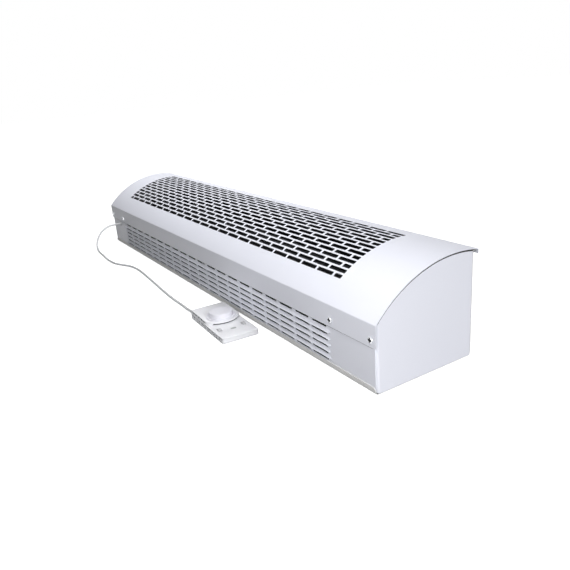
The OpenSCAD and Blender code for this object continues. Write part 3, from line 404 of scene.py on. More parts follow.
# A flat grid with round-cornered openings. Each group is (first columns, first rows, columns wide,
# rows high, length, height, corner radius); an opening sits in the middle of its cells.
def punchedSheet(xLines, sLines, groups, arcSteps=3):
    nx, ns = len(xLines), len(sLines)
    grid = np.arange(nx * ns).reshape(ns, nx)
    solid = np.ones((ns - 1, nx - 1), bool)
    points = [np.stack(np.meshgrid(xLines, sLines), -1).reshape(-1, 2)]
    faces, count, k = [], nx * ns, arcSteps + 1
    turn = np.linspace(0, np.pi / 2, k)
    for col, row, wide, high, length, height, corner in groups:
        col, row = np.asarray(col), np.asarray(row)
        c, r = col[:, None], row[:, None]
        for i in range(wide):
            for j in range(high):
                solid[row + j, col + i] = False
        bottom = grid[r, c + np.arange(wide + 1)]
        top = grid[r + high, c + np.arange(wide, -1, -1)]
        right = grid[r + np.arange(high + 1), c + wide]
        left = grid[r + np.arange(high, -1, -1), c]
        middle = np.column_stack([(xLines[col] + xLines[col + wide]) / 2,
                                  (sLines[row] + sLines[row + high]) / 2])
        arcs = []
        for q, (sx, sy) in enumerate(((-1, -1), (1, -1), (1, 1), (-1, 1))):
            a = np.pi + q * np.pi / 2 + turn
            arcs.append(np.column_stack([sx * (length / 2 - corner) + corner * np.cos(a),
                                         sy * (height / 2 - corner) + corner * np.sin(a)]))
        outline = np.concatenate(arcs)
        points.append((middle[:, None] + outline[None]).reshape(-1, 2))
        hole = count + np.arange(len(middle) * 4 * k).reshape(-1, 4 * k)
        count += hole.size
        for q, side in enumerate((bottom, right, top, left)):
            end, nextStart = hole[:, (q + 1) * k - 1], hole[:, (q + 1) * k % (4 * k)]
            faces.append(np.column_stack([side, nextStart, end]))
        for q, side in enumerate((bottom, right, top, left)):
            arc = hole[:, q * k:(q + 1) * k]
            fan = np.stack([np.repeat(side[:, :1], arcSteps, 1), arc[:, 1:], arc[:, :-1]], -1)
            faces.append(fan.reshape(-1, 3))
    quads = gridFaces(ns, nx).reshape(ns - 1, nx - 1, 4)[solid]
    return np.concatenate(points), [quads] + faces


# Grid lines at the given places, in order and each once: a part is a number or (from, to, count).
def steps(*parts):
    return np.unique(np.round(np.concatenate([np.atleast_1d(p) if np.ndim(p) == 0 else np.linspace(*p)
                                              for p in parts]), 7))


cord = dict(
    diameter=0.005,
    drawn=0.00246,        # radius of the tube, a hair less so that its curve stays off the floor
    route=[(-0.474, -0.0873, 0.057), (-0.474, -0.097, 0.057), (-0.474, -0.107, 0.057),
           (-0.474, -0.117, 0.056), (-0.474, -0.128, 0.052), (-0.474, -0.139, 0.045),
           (-0.473, -0.148, 0.035), (-0.472, -0.154, 0.024), (-0.468, -0.158, 0.013),
           (-0.458, -0.160, 0.006), (-0.444, -0.161, 0.003), (-0.424, -0.162, 0.0025),
           (-0.400, -0.163, 0.0025), (-0.370, -0.165, 0.0025), (-0.338, -0.165, 0.0025),
           (-0.310, -0.162, 0.0025), (-0.288, -0.154, 0.0025), (-0.268, -0.145, 0.0025),
           (-0.245, -0.139, 0.0025), (-0.216, -0.137, 0.0025), (-0.180, -0.138, 0.0025),
           (-0.132, -0.141, 0.0025), (-0.086, -0.144, 0.0025), (-0.044, -0.147, 0.0025),
           (-0.006, -0.149, 0.0025), (0.028, -0.150, 0.0025), (0.058, -0.150, 0.0025),
           (0.084, -0.151, 0.003), (0.104, -0.1522, 0.0047), (0.1203, -0.1531, 0.005)],
    perSpan=5,
    sides=16,
)


# Cubic curve through the points; the slope at each is half the step between its neighbours.
def smoothRoute(points, perSpan):
    p = np.array(points, float)
    slope = np.gradient(p, axis=0)
    t = np.linspace(0, 1, perSpan, endpoint=False)[:, None, None]
    a, b, m, n = p[:-1], p[1:], slope[:-1], slope[1:]
    curve = ((2 * t**3 - 3 * t**2 + 1) * a + (t**3 - 2 * t**2 + t) * m
             + (3 * t**2 - 2 * t**3) * b + (t**3 - t**2) * n)
    return np.concatenate([curve.transpose(1, 0, 2).reshape(-1, 3), p[-1:]])


# A circle carried square to a path; its start direction is kept level with a fixed slanted line.
def tube(path, radius, sides):
    along = unit(np.gradient(path, axis=0))
    a = unit(np.cross(along, [1, 1, -1]))
    b = np.cross(along, a)
    turn = (np.arange(sides) * 2 * np.pi / sides)[None, :, None]
    points = path[:, None] + radius * (np.cos(turn) * a[:, None] + np.sin(turn) * b[:, None])
    return points.reshape(-1, 3), [gridFaces(len(path), sides, True), *endCaps(len(path), sides)]


def makeCord(c):
    path = smoothRoute(c["route"], c["perSpan"])
    points, faces = tube(path, c["drawn"], c["sides"])
    piece = makePiece("controllerCord", points, faces, "cord_sheath", ["control_cord"], crease=50)


makeCord(cord)


cover = dict(
    halfLength=0.535,
    frontY=-0.0865,
    apronLow=0.0645,      # lower edge of the apron
    bendHeight=0.097,     # where the flat apron and the curve would meet
    radius=0.187,
    axisY=0.0535,
    lipY=0.0945,
    lipDrop=0.007,
    wall=0.0012,
    frontBend=0.0025,
    rearBend=0.0018,
    rowPitch=0.0095,
    firstRow=0.0432,      # along the curve from the front bend
    rows=14,
    slotPitch=0.040,
    slotLength=0.0355,
    slotHeight=0.0063,
    slotCorner=0.0014,
    slotShade=0.94,       # painted shade on a slot's wall at its outer edge; 1 at its inner edge
    apronCorner=0.005,
    cornerReach=0.015,    # the apron's grid bends with its corners over this height
    columns=22,
    cells=4,              # grid cells along one slot and the bar after it
    slotShift=-0.009,     # of the whole field of slots, along the casing
    rounding=0.0002,      # of the sheet's edges
    edgeLine=0.0005,      # a grid line this far from each bend keeps the flat parts flat
    afterBend=0.004,
    cornerLines=8,
    gridLines=(4, 3, 5, 5, 4, 7),   # beside the slots; on the apron, front bend, before, after, rear bend
    slotSpan=(-0.08, 0.09),   # the slots lie between these y
    slotMargin=0.001,
)


# The folded strip seen from the end: apron, front bend, big curve, rear bend, lip. Distances are
# measured from where the apron and the curve would meet. Gives the distances at which the parts
# start and end, and the function from distance to point and outward normal.
def coverPath(c):
    r, big = c["frontBend"], c["radius"]
    axisZ = c["bendHeight"] - np.sqrt(big**2 - (c["axisY"] - c["frontY"])**2)
    frontAngle = np.arctan2(c["bendHeight"] - axisZ, c["frontY"] - c["axisY"])
    centreY, lipR = c["frontY"] + r, c["rearBend"]
    centreZ = axisZ + np.sqrt((big - r)**2 - (centreY - c["axisY"])**2)
    bendAngle = np.arctan2(centreZ - axisZ, centreY - c["axisY"])
    rearY = c["lipY"] - lipR
    rearZ = axisZ + np.sqrt((big - lipR)**2 - (rearY - c["axisY"])**2)
    rearAngle = np.arctan2(rearZ - axisZ, rearY - c["axisY"])
    cornerZ = axisZ + np.sqrt(big**2 - (c["lipY"] - c["axisY"])**2)
    onCurve = big * (frontAngle - bendAngle)
    runs = [(centreZ - c["apronLow"], 0), (r * (np.pi - bendAngle), r), (big * (bendAngle - rearAngle), big),
            (lipR * rearAngle, lipR), (rearZ - cornerZ + c["lipDrop"], 0)]
    ends = np.cumsum([0] + [run[0] for run in runs])
    shift = onCurve - ends[2]
    marks = ends + shift

    # Point and outward normal at each distance s.
    def at(s):
        return foldedPath((c["frontY"], c["apronLow"]), np.pi / 2, runs, s - shift)

    return marks, at


# How far an edge rises towards its ends, so that each end becomes a quarter circle.
def cornerRise(x, half, radius):
    return radius - np.sqrt(radius**2 - np.clip(abs(x) - half + radius, 0, radius)**2)


# Grid lines in the rounded corner at the end of a sheet, the innermost first.
def cornerLines(half, radius, count):
    return half - radius * (1 - np.sin(np.linspace(0, np.pi / 2, count)))


# A flat sheet laid along a folded path, with its wall; the last result is its outer face's point count.
def foldSheet(flat, faces, section, normal, wall, rounding):
    points = np.column_stack([flat[:, 0], section])
    normals = np.column_stack([np.zeros(len(flat)), normal])
    keep, faces = weld(points, faces)
    return *thicken(points[keep], normals[keep], faces, wall, rounding), len(keep)


# A punched sheet laid along the folded path. Rows of slots take turns: whole columns, and columns half
# a pitch along with a half slot at each end. Its inside and the slots' walls get painted shade.
def makeCover(c):
    marks, at = coverPath(c)
    half, pitch, cells, edge = c["halfLength"], c["slotPitch"], c["cells"], c["edgeLine"]
    first, end = c["slotShift"] + c["columns"] * pitch / 2 * np.array([-1, 1])    # the field of slots
    corner = c["apronCorner"]
    nearEnd = cornerLines(half, corner, c["cornerLines"])
    beside, apron, bend, before, after, rear = c["gridLines"]
    xLines = steps((-nearEnd[0], first, beside), (first, end, cells * c["columns"] + 1),
                   (end, nearEnd[0], beside), *nearEnd, *-nearEnd)
    rowEdge = c["firstRow"] + (np.arange(c["rows"] + 1) - 0.5) * c["rowPitch"]
    sLines = steps((marks[0], marks[1] - edge, apron), (marks[1], marks[2], bend), marks[2] + edge,
                   (marks[2] + c["afterBend"], rowEdge[0], before), *rowEdge,
                   (rowEdge[-1], marks[3] - edge, after), (marks[3], marks[4], rear), marks[4] + edge,
                   marks[5])
    firstRow = int(np.argmin(abs(sLines - rowEdge[0])))
    firstColumn = int(np.argmin(abs(xLines - first)))
    odd = firstRow + np.arange(1, c["rows"], 2)
    even = firstRow + np.arange(0, c["rows"], 2)
    full = firstColumn + cells * np.arange(c["columns"])
    shifted = full[:-1] + cells // 2

    # Every column with every row.
    def spread(columns, rows):
        cc, rr = np.meshgrid(columns, rows)
        return cc.ravel(), rr.ravel()

    size = (c["slotHeight"], c["slotCorner"])
    halfSlot = pitch / 2 - (pitch - c["slotLength"])
    flat, faces = punchedSheet(xLines, sLines, [
        (*spread(full, odd), cells, 1, c["slotLength"], *size),
        (*spread(shifted, even), cells, 1, c["slotLength"], *size),
        (*spread([firstColumn, full[-1] + cells // 2], even), cells // 2, 1, halfSlot, *size)])
    nearCorner = np.clip(1 - (flat[:, 1] - marks[0]) / c["cornerReach"], 0, 1)
    flat[:, 1] += cornerRise(flat[:, 0], half, corner) * nearCorner
    points, faces, skin = foldSheet(flat, faces, *at(flat[:, 1]), c["wall"], c["rounding"])
    edges = (len(points) - 2 * skin) // 2
    # Painted shade: 0 on the outer face, 1 on the inner face, slotShade rising to 1 across the cut walls.
    depth = np.repeat([0, 1, c["slotShade"], 1], [skin, skin, edges, edges])
    x, y = points[:, 0], points[:, 1]
    inSlots = (x > first - c["slotMargin"]) & (x < end + c["slotMargin"])
    inSlots &= (y > c["slotSpan"][0]) & (y < c["slotSpan"][1])
    makePiece("intakeCover", points, faces, "white_coat", ["intake_cover"], paintedShade=depth * inSlots)
    print("cover made,", len(points), "points")


makeCover(cover)


panel = dict(
    halfLength=0.531,
    faceY=-0.0853,
    low=0.0012,
    high=0.086,
    wall=0.0012,
    pitch=0.0434,
    columns=20,
    openLength=0.0385,
    topLength=0.0345,     # openings of the top row, which has no hoods
    topHeight=0.0036,
    cornerLength=0.00105,
    rowPitch=0.0097,
    firstRow=0.0129,      # height of the lowest row's middle
    rows=6,
    openHeight=0.0046,
    hoodOut=0.002,
    hoodRise=0.0046,      # height of a hood over its opening
    hoodCurve=1.8,        # above 1 the slope is steepest at the lip
    hoodPast=0.0058,      # how far a hood runs past its opening
    endRound=0.0046,      # length over which a hood rounds off at each end
    endLines=(0, 0.03, 0.12, 0.27, 0.48, 0.75),       # grid lines back from a row's end; 1 at the opening
    slopeLines=(0, 0.05, 0.14, 0.28, 0.46, 0.7, 1),   # 0 at the lip, 1 where the hood ends
    pastOpening=0.0012,   # grid line beside an opening
    pastHoods=0.0003,     # the sheet is flat again this far past the last hood
    cornerLine=0.0009,    # grid line below an opening's upper edge
    aboveLines=5,         # grid lines above the rows
    besideLines=4,        # and beside them
    cornerLift=(0.0008, -0.0005),   # how far an opening's lower and upper corners are drawn in
    ledge=(0.445, 0.008), # half length and depth of the fold along the top
)


# Louvred sheet: one grid whose lines follow the openings. Along a row the hoods run into each other;
# a hood stands out by hoodOut * (1 - height up its slope)^hoodCurve * (quarter ellipse at its ends).
def makePanel(c):
    hole, topHole, corner = c["openLength"] / 2, c["topLength"] / 2, c["cornerLength"]
    middles = (np.arange(c["columns"]) - (c["columns"] - 1) / 2) * c["pitch"]

    # Distance along x to the middle of the nearest column of openings.
    def fromMiddle(x):
        nearest = np.round(x / c["pitch"] + (c["columns"] - 1) / 2).astype(int)
        return abs(x - middles[np.clip(nearest, 0, c["columns"] - 1)])

    local = np.array([topHole - corner, topHole, hole - corner, hole, hole + c["pastOpening"]])
    hoodEnd = hole + c["hoodPast"]
    outer = middles[-1] + hoodEnd - (hoodEnd - hole) * np.array(c["endLines"])
    clear = outer[0] + c["pastHoods"]
    xLines = steps(*(middles[:, None] + local).ravel(), *(middles[:, None] - local).ravel(),
                   *(middles[1:] - c["pitch"] / 2), *outer, *-outer,
                   (clear, c["halfLength"], c["besideLines"]), (-c["halfLength"], -clear, c["besideLines"]))
    offset = fromMiddle(xLines)
    past = np.clip((offset - hoodEnd + c["endRound"]) / c["endRound"], 0, 1)
    fill = np.sqrt(1 - past**2)
    low, top = -c["openHeight"] / 2, c["openHeight"] / 2
    up = np.array(c["slopeLines"])
    row = np.array([low, top - c["cornerLine"], *(top + c["hoodRise"] * up)])
    reach = np.concatenate([np.zeros(2), (1 - up)**c["hoodCurve"]])
    inRow = len(row)
    number = np.repeat(np.arange(c["rows"]), inRow)
    line = np.tile(np.arange(inRow), c["rows"])
    rowZ = c["firstRow"] + number * c["rowPitch"] + row[line]
    last = number == c["rows"] - 1
    rowZ = rowZ + (c["openHeight"] - c["topHeight"]) * (last & (line == 0))
    above = np.linspace(rowZ[-1], c["high"], c["aboveLines"])[1:]
    zLines = np.concatenate([[c["low"]], rowZ, above])
    plain = (1, len(above))     # lines below and above the rows
    lowLift, highLift = c["cornerLift"]
    out = np.pad(reach[line] * ~last * c["hoodOut"], plain)
    lift = np.pad(lowLift * (line == 0) + highLift * (line == 2), plain)
    ends = np.where(np.pad(last, plain)[:, None], topHole, hole)
    rounding = np.clip((offset - ends) / corner + 1, 0, 1) * (fill > 0)
    z = zLines[:, None] + lift[:, None] * rounding
    y = c["faceY"] - out[:, None] * fill
    points = np.stack([np.broadcast_to(xLines, z.shape), y, z], -1).reshape(-1, 3)
    rows, columns = z.shape
    openRow = np.pad(line < 2, plain)[:-1]
    solid = ~(openRow[:, None] & (fromMiddle((xLines[:-1] + xLines[1:]) / 2) < ends[:-1]))
    faces = [gridFaces(rows, columns).reshape(rows - 1, columns - 1, 4)[solid]]
    keep, faces = weld(points, faces)
    points = points[keep]
    points, faces = thicken(points, np.tile([0.0, -1.0, 0.0], (len(points), 1)), faces, c["wall"])
    length, depth = c["ledge"]
    behind = c["faceY"] + c["wall"]
    ledge = makeBox((-length, behind, c["high"] - c["wall"]), (length, behind + depth, c["high"]))
    points, faces = join([(points, faces), ledge])
    makePiece("outletPanel", points, faces, "white_coat", ["outlet_panel"], crease=40)
    print("outlet panel made,", len(points), "points")


makePanel(panel)


# Lowest and highest corner of the bar.
seamShade = dict(low=(-0.529, -0.0861, 0.0640), high=(0.529, -0.08525, 0.06445))


# A slim dark bar in the joint under the cover's apron: painted shade for the shadow line there.
def makeSeamShade(c):
    makePiece("apronShadeStrip", *makeBox(c["low"], c["high"]), "rubber")


makeSeamShade(seamShade)
print("apron seal made")


endPlate = dict(
    face=0.534,           # outer face from the middle of the casing
    sheet=0.0012,
    flangeEnd=0.5188,
    frontY=-0.0841,
    rearY=0.0865,
    radius=0.1855,
    axisY=0.0535,
    axisZ=-0.026975,
    fold=(0.0022, 0.0036, 0.0018, 0.0036),  # fold radius along the floor, rear edge, curve and front edge
    curve=(1.85, 2.15),   # where the curve starts and ends; 1 to 2 is the rear edge, 2 to 3 the front
    gap=((1.0, 1.7, 1.85, 2.15, 2.5, 3.0), (0, 0.0018, 0.0019, 0.0009, 0.0006, 0)),  # where, how wide
    corner=(0.004, 0.0042, 0.004, 0.0036),  # bottom front, bottom rear, top rear, top front
    foldSteps=6,
    flatEdge=0.0006,      # a loop this far inside the fold keeps the face flat
    hem=(0.0042, 0.006),  # how far behind the face, how wide
    flangeAt=0.004,       # how far behind the face the flange starts
    flangeGap=0.0001,     # between the flange and the tray
    shadeStripIn=0.0001,        # how far the dark strip of painted shade in the gap lies behind the plate's face
    shadeStripDepth=0.0045,
    shadeStripPast=0.0004,      # how far the painted-shade strip reaches under the skin
    shadeStripRange=(1.5, 2.7),
)


# Closed outline in (y, z): floor, rear edge, curve and front edge, with a fillet in each corner.
# A fillet that meets the curve has its centre where both are one radius away. The third result says
# how far round each point lies: floor 0, rear edge 1, curve 2, front edge 3, and between them in a fillet.
def plateOutline(c, cornerSteps=6, curveSteps=40):
    y0, y1, big, ay, az = c["frontY"], c["rearY"], c["radius"], c["axisY"], c["axisZ"]
    low = c.get("low", 0.0)
    r0, r1, r2, r3 = c["corner"]
    rear = np.array([y1 - r2, az + np.sqrt((big - r2)**2 - (y1 - r2 - ay)**2)])
    front = np.array([y0 + r3, az + np.sqrt((big - r3)**2 - (y0 + r3 - ay)**2)])
    angleRear = np.arctan2(rear[1] - az, rear[0] - ay)
    angleFront = np.arctan2(front[1] - az, front[0] - ay)
    start, end = c["curve"]
    arcs = [((y0 + r0, low + r0), r0, np.pi, 1.5 * np.pi, cornerSteps, (3, 4)),
            ((y1 - r1, low + r1), r1, 1.5 * np.pi, 2 * np.pi, cornerSteps, (0, 1)),
            (rear, r2, 0, angleRear, cornerSteps, (1, start)),
            ((ay, az), big, angleRear, angleFront, curveSteps, (start, end)),
            (front, r3, angleFront, np.pi, cornerSteps, (end, 3))]
    points, normals, edges = [], [], []
    for centre, r, a, b, n, (e0, e1) in arcs:
        t = np.linspace(a, b, n + 1)
        ray = np.column_stack([np.cos(t), np.sin(t)])
        points.append(np.array(centre) + r * ray)
        normals.append(ray)
        edges.append(np.linspace(e0, e1, n + 1))
    points, normals, edges = np.concatenate(points), np.concatenate(normals), np.concatenate(edges)
    apart = np.linalg.norm(np.roll(points, -1, 0) - points, axis=1) > 1e-7
    return points[apart], normals[apart], edges[apart]


# Loops of an outline, each drawn in by an inset and at its own x. Both may change along the loop.
def loopsAt(outline, normals, rings, side):
    count = len(outline)
    loops = [np.column_stack([side * np.broadcast_to(x, count),
                              outline - np.reshape(inset, (-1, 1)) * normals]) for inset, x in rings]
    return np.concatenate(loops)


# Outer skin: flat face, quarter-round fold and a narrow hem, closed at the back. Behind it a ring of
# folded flange runs round all four edges. A dark strip in the gap to the cover is painted shade.
def makeEndPlate(c, side, name, node):
    outline, normals, edges = plateOutline(c)
    b = np.interp(edges, np.arange(5), (*c["fold"], c["fold"][0]))
    face, sheet = c["face"], c["sheet"]
    gap = np.interp(edges, *c["gap"])
    turn = np.linspace(0, np.pi / 2, c["foldSteps"] + 1)
    hemAt, hem = c["hem"]
    rings = [(gap + b + c["flatEdge"], face)]
    rings += [(gap + b * (1 - np.sin(t)), face - b * (1 - np.cos(t))) for t in turn]
    rings += [(gap, face - hemAt), (gap + hem, face - hemAt)]
    count = len(outline)
    skin = (loopsAt(outline, normals, rings, side),
            [gridFaces(len(rings), count, True), *endCaps(len(rings), count)])
    inside = dict(c, rearY=c["rearY"] - sheet - c["flangeGap"], low=sheet + c["flangeGap"])
    inner, innerNormals, _ = plateOutline(inside)
    flangeAt, flangeEnd = face - c["flangeAt"], c["flangeEnd"]
    band = [(0, flangeAt), (0, flangeEnd), (sheet, flangeEnd), (sheet, flangeAt)]
    flange = (loopsAt(inner, innerNormals, band, side), [gridFaces(4, len(inner), True, ring=True)])
    points, faces = join([skin, flange])
    makePiece(name, points, turnedOver(faces) if side > 0 else faces, "white_coat", [node])
    # The dark strip along the curve is painted shade for the shadow line under the cover's edge.
    near = (edges > c["shadeStripRange"][0]) & (edges < c["shadeStripRange"][1])
    first = np.flatnonzero(near)[0]
    strip = slice(first, first + near.sum())
    wide = gap[strip] + c["shadeStripPast"]
    back, front = face - c["shadeStripDepth"], face - c["shadeStripIn"]
    bar = [(0 * wide, back), (wide, back), (wide, front), (0 * wide, front)]
    count = len(wide)
    points = loopsAt(outline[strip], normals[strip], bar, side)
    caps = np.arange(4)[None] * count
    faces = [gridFaces(4, count, ring=True), caps[:, ::-1], caps + count - 1]
    makePiece(name.replace("EndPlate", "ShadeStrip"), points, turnedOver(faces) if side > 0 else faces, "rubber")


makeEndPlate(endPlate, 1, "rightEndPlate", "end_plate_right")
makeEndPlate(endPlate, -1, "leftEndPlate", "end_plate_left")
print("end plates made")


tray = dict(
    halfLength=0.5328,
    frontY=-0.0865,
    rearY=0.0865,
    lipHeight=0.0095,
    lipCorner=0.007,
    wall=0.0012,
    edge=0.00045,         # rounding of the sheet's edges
    bend=0.0036,          # outer radius of the folds at the floor
    shelfBend=0.0008,
    floorLine=0.01,       # first grid line past a bend, on the floor
    wallLines=(0.008, 0.004),   # the same up the rear wall, past its lower and below its upper bend
    shelfHeight=0.15443,
    shelfY=0.0923,
    holes=(               # name, x, along the folded sheet ("floor": y, "rear": z), diameter
        ("floor", 0.515, 0.060, 0.007), ("floor", 0.515, -0.060, 0.007),
        ("rear", 0.5258, 0.040, 0.0042), ("rear", 0.5258, 0.120, 0.0042)),
    gland=(-0.490, 0.060, 0.016),           # x, height, diameter of its hole
    holeCell=0.7,         # half the grid cell round a hole, in diameters
    holeSteps=6,          # in each quarter of a hole's edge
    cornerLines=10,
    gridLines=(4, 7, 6, 5),     # on the lip, on each big bend, on the floor and wall, on the shelf's bend
    notSquare=0.00005,    # what a hole's corner radius lacks to half its diameter
    evenLines=(-0.48, 0.48, 17),
)


# One sheet folded at the front lip, the floor, the rear wall and the shelf that the cover hangs on.
# Distances run from the lip's top edge.
def makeTray(c):
    r, half = c["bend"], c["halfLength"]
    quarter = np.pi / 2 * r
    up = c["shelfHeight"] - c["wall"] - c["shelfBend"]
    runs = [(c["lipHeight"] - r, 0), (quarter, -r), (c["rearY"] - c["frontY"] - 2 * r, 0), (quarter, -r),
            (up - r, 0), (np.pi / 2 * c["shelfBend"], c["shelfBend"]),
            (c["shelfY"] - c["rearY"] - c["shelfBend"], 0)]
    marks = np.cumsum([0] + [length for length, _ in runs])
    floorAt, rearAt = marks[2] - c["frontY"] - r, marks[4] - r     # distance = floorAt + y, rearAt + z
    holes = [(side * x, (floorAt if part == "floor" else rearAt) + place, d)
             for part, x, place, d in c["holes"] for side in (-1, 1)]
    holes.append((c["gland"][0], rearAt + c["gland"][1], c["gland"][2]))
    nearEnd = cornerLines(half, c["lipCorner"], c["cornerLines"])
    cell = c["holeCell"]
    holeLines = [[hole[k] + e * cell * hole[2] for hole in holes for e in (-1, 1)] for k in (0, 1)]
    xLines = steps(*nearEnd, *-nearEnd, c["evenLines"], *holeLines[0])
    floorLine, (wallLow, wallHigh) = c["floorLine"], c["wallLines"]
    lip, bend, flatLines, shelfBend = c["gridLines"]
    sLines = steps((marks[0], marks[1], lip), (marks[1], marks[2], bend),
                   (marks[2] + floorLine, marks[3] - floorLine, flatLines), (marks[3], marks[4], bend),
                   (marks[4] + wallLow, marks[5] - wallHigh, flatLines), (marks[5], marks[6], shelfBend),
                   marks[7], *holeLines[1])
    groups = []
    for x, s, d in holes:
        around = cell * d * np.array([-1, 1]) - 1e-6    # a hair less, so that the line itself is found
        col, colEnd = np.searchsorted(xLines, x + around)
        row, rowEnd = np.searchsorted(sLines, s + around)
        groups.append(([col], [row], colEnd - col, rowEnd - row, d, d, d / 2 - c["notSquare"]))
    flat, faces = punchedSheet(xLines, sLines, groups, c["holeSteps"])
    nearLip = np.clip(1 - flat[:, 1] / c["lipHeight"], 0, 1)
    flat[:, 1] += cornerRise(flat[:, 0], half, c["lipCorner"]) * nearLip
    section, left = foldedPath((c["frontY"], c["lipHeight"]), -np.pi / 2, runs, flat[:, 1])
    points, faces, skin = foldSheet(flat, turnedOver(faces), section, -left, c["wall"], c["edge"])
    inside = np.arange(len(points)) // skin == 1       # painted shade: the inner face is darkened
    makePiece("baseTray", points, faces, "tray_coat", ["base_tray"], paintedShade=inside.astype(float))
    print("tray made,", len(points), "points")


makeTray(tray)


screw = dict(
    head=0.0045,          # radius
    height=0.0024,
    cross=(0.0034, 0.0015),   # half length and half width of the recess
    depth=0.0015,
    wall=0.0003,          # run of the recess's sloped wall
    dome=(6, 2.2),        # the two powers of the head's shape
    rings=22,
    sides=72,
    shank=0.002,
    coverPlaces=[(x, -0.0865, 0.07525) for x in (-0.525, -0.441, 0.441, 0.525)],
    rearPlaces=[(x, 0.0865, z) for x in (-0.5258, 0.5258) for z in (0.040, 0.120)],
    coverShank=0.009,
    rearShank=0.008,
)


# Pan head on a polar grid: height = head height * (1 - (radius / head radius)^edge)^(1 / top), with the
# two powers of dome, less a cross-shaped recess whose walls are a steep step in the distance to the
# nearer arm.
def makeScrews(c, name, node, places, axis, shank):
    rings, sides = c["rings"], c["sides"]
    r = c["head"] * np.sin(np.linspace(0, np.pi / 2, rings + 1))[1:]
    turn = np.arange(sides) * 2 * np.pi / sides
    u, v = np.outer(r, np.cos(turn)), np.outer(r, np.sin(turn))
    long, slim = c["cross"]
    arms = [np.maximum(abs(a) - long, abs(b) - slim) for a, b in ((u, v), (v, u))]
    inside = np.clip(0.5 - np.minimum(*arms) / c["wall"], 0, 1)
    edge, top = c["dome"]
    z = c["height"] * (1 - (r[:, None] / c["head"])**edge)**(1 / top) - c["depth"] * inside
    under = np.array([[c["head"], 0], [c["shank"], 0], [c["shank"], -shank]])
    skirt = ringPoints(under[:, :1], under[:, 1:], turn)
    one = np.concatenate([[[0, 0, c["height"] - c["depth"]]], ringPoints(r[:, None], z, turn), skirt])
    count = rings + 3
    around = np.arange(sides)
    faces = [gridFaces(count, sides, True, start=1)[:, ::-1],
             np.column_stack([0 * around, 1 + around, 1 + (around + 1) % sides]),
             1 + (count - 1) * sides + around[None, ::-1]]
    # Painted shade: the cross recess and the point in its middle are darkened.
    paintedCrossShade = np.concatenate([[1], inside.ravel(), np.zeros(len(skirt))])
    points, faces = join([(onAxis(one, place, axis), faces) for place in places])
    makePiece(name, points, faces, "zinc_steel", [node], paintedShade=np.tile(paintedCrossShade, len(places)))


makeScrews(screw, "coverScrews", "cover_screws", screw["coverPlaces"], (0, -1, 0), screw["coverShank"])
makeScrews(screw, "endPlateScrews", "end_plate_screws", screw["rearPlaces"], (0, 1, 0), screw["rearShank"])
print("screws made")


controller = dict(
    place=(0.196, -0.132),
    turn=-3,              # degrees
    edge=0.0007,          # rounding of the shells' edges
    sharp=35,             # degrees from which an edge is rounded
    dialAt=-0.008,
    dialLow=0.0153,
    dialSides=240,
    dialProfile=(         # radius, height
        (0.0205, 0), (0.0246, 0), (0.0250, 0.0004), (0.0250, 0.0016), (0.0248, 0.0020), (0.0243, 0.0022),
        (0.0216, 0.0023), (0.0211, 0.0021), (0.0207, 0.0018), (0.0205, 0.0018), (0.0204, 0.0024),
        (0.0202, 0.0050), (0.0200, 0.0080), (0.0198, 0.0090), (0.0193, 0.0097), (0.0185, 0.0100),
        (0.0120, 0.0098), (0.0040, 0.0097)),
    dialRibs=(60, 0.0003, 0.0023, 0.0085),  # number, depth, from height, to height
    bushAt=(-0.0695, -0.025, 0.005),
    bushSides=32,
    bushProfile=(
        (0.0020, 0.0036), (0.0023, 0.0036), (0.0023, 0.0016), (0.0035, 0.0016), (0.0035, 0),
        (0.0042, -0.0001), (0.0042, -0.0007), (0.0038, -0.0009), (0.0036, -0.0014), (0.0038, -0.0017),
        (0.0038, -0.0024), (0.0034, -0.0027), (0.0033, -0.0032), (0.0034, -0.0035), (0.0034, -0.0041),
        (0.0030, -0.0045), (0.0028, -0.0050), (0.0024, -0.0050)),
)


# From the controller's own axes to the frame's.
def onController(points, c, offset=(0, 0, 0)):
    a = np.radians(c["turn"])
    p = np.asarray(points, float) + offset
    return np.column_stack([c["place"][0] + p[:, 0] * np.cos(a) - p[:, 1] * np.sin(a),
                            c["place"][1] + p[:, 0] * np.sin(a) + p[:, 1] * np.cos(a), p[:, 2]])


# A copy of one of the casing's nodes, its flat faces joined up and its sharp edges bevelled.
def softened(node, name, slot, width, sharp):
    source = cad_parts[node]
    mesh = source.data.copy()
    mesh.transform(source.matrix_world)
    work = bmesh.new()
    work.from_mesh(mesh)
    bmesh.ops.remove_doubles(work, verts=work.verts, dist=1e-6)
    bmesh.ops.dissolve_limit(work, angle_limit=np.radians(1), verts=work.verts, edges=work.edges)
    work.to_mesh(mesh)
    work.free()
    mesh.name = name
    mesh.shade_smooth()
    obj = finished(name, mesh, slot, [node])
    adjusted(obj.modifiers.new("edges", "BEVEL"), width=width, segments=2, limit_method="ANGLE",
             angle_limit=np.radians(sharp), harden_normals=True)


# The shells are softened; the dial with its ribbed cap and the cord's bush are lathed.
def makeController(c):
    softened("control_base", "controllerBase", "controller_white", c["edge"], c["sharp"])
    softened("control_cover", "controllerCover", "controller_white", c["edge"], c["sharp"])
    points, faces = lathe(c["dialProfile"], c["dialSides"], ribs=c["dialRibs"])
    points = onController(points, c, (c["dialAt"], 0, c["dialLow"]))
    makePiece("dial", points, faces, "dial_white", ["dial_knob"], body="dial", crease=40)
    points, faces = lathe(c["bushProfile"], c["bushSides"])
    points = onController(onAxis(points, c["bushAt"], (1, 0, 0)), c)
    makePiece("cordBush", points, turnedOver(faces), "cord_sheath", ["control_bush"])
    print("controller made")


makeController(controller)


# Across-flats shape of a nut: flat distance / cos(angle from the middle of the flat).
def hexagon(flat):
    return lambda turn: flat / np.cos(np.mod(turn, np.pi / 3) - np.pi / 6)


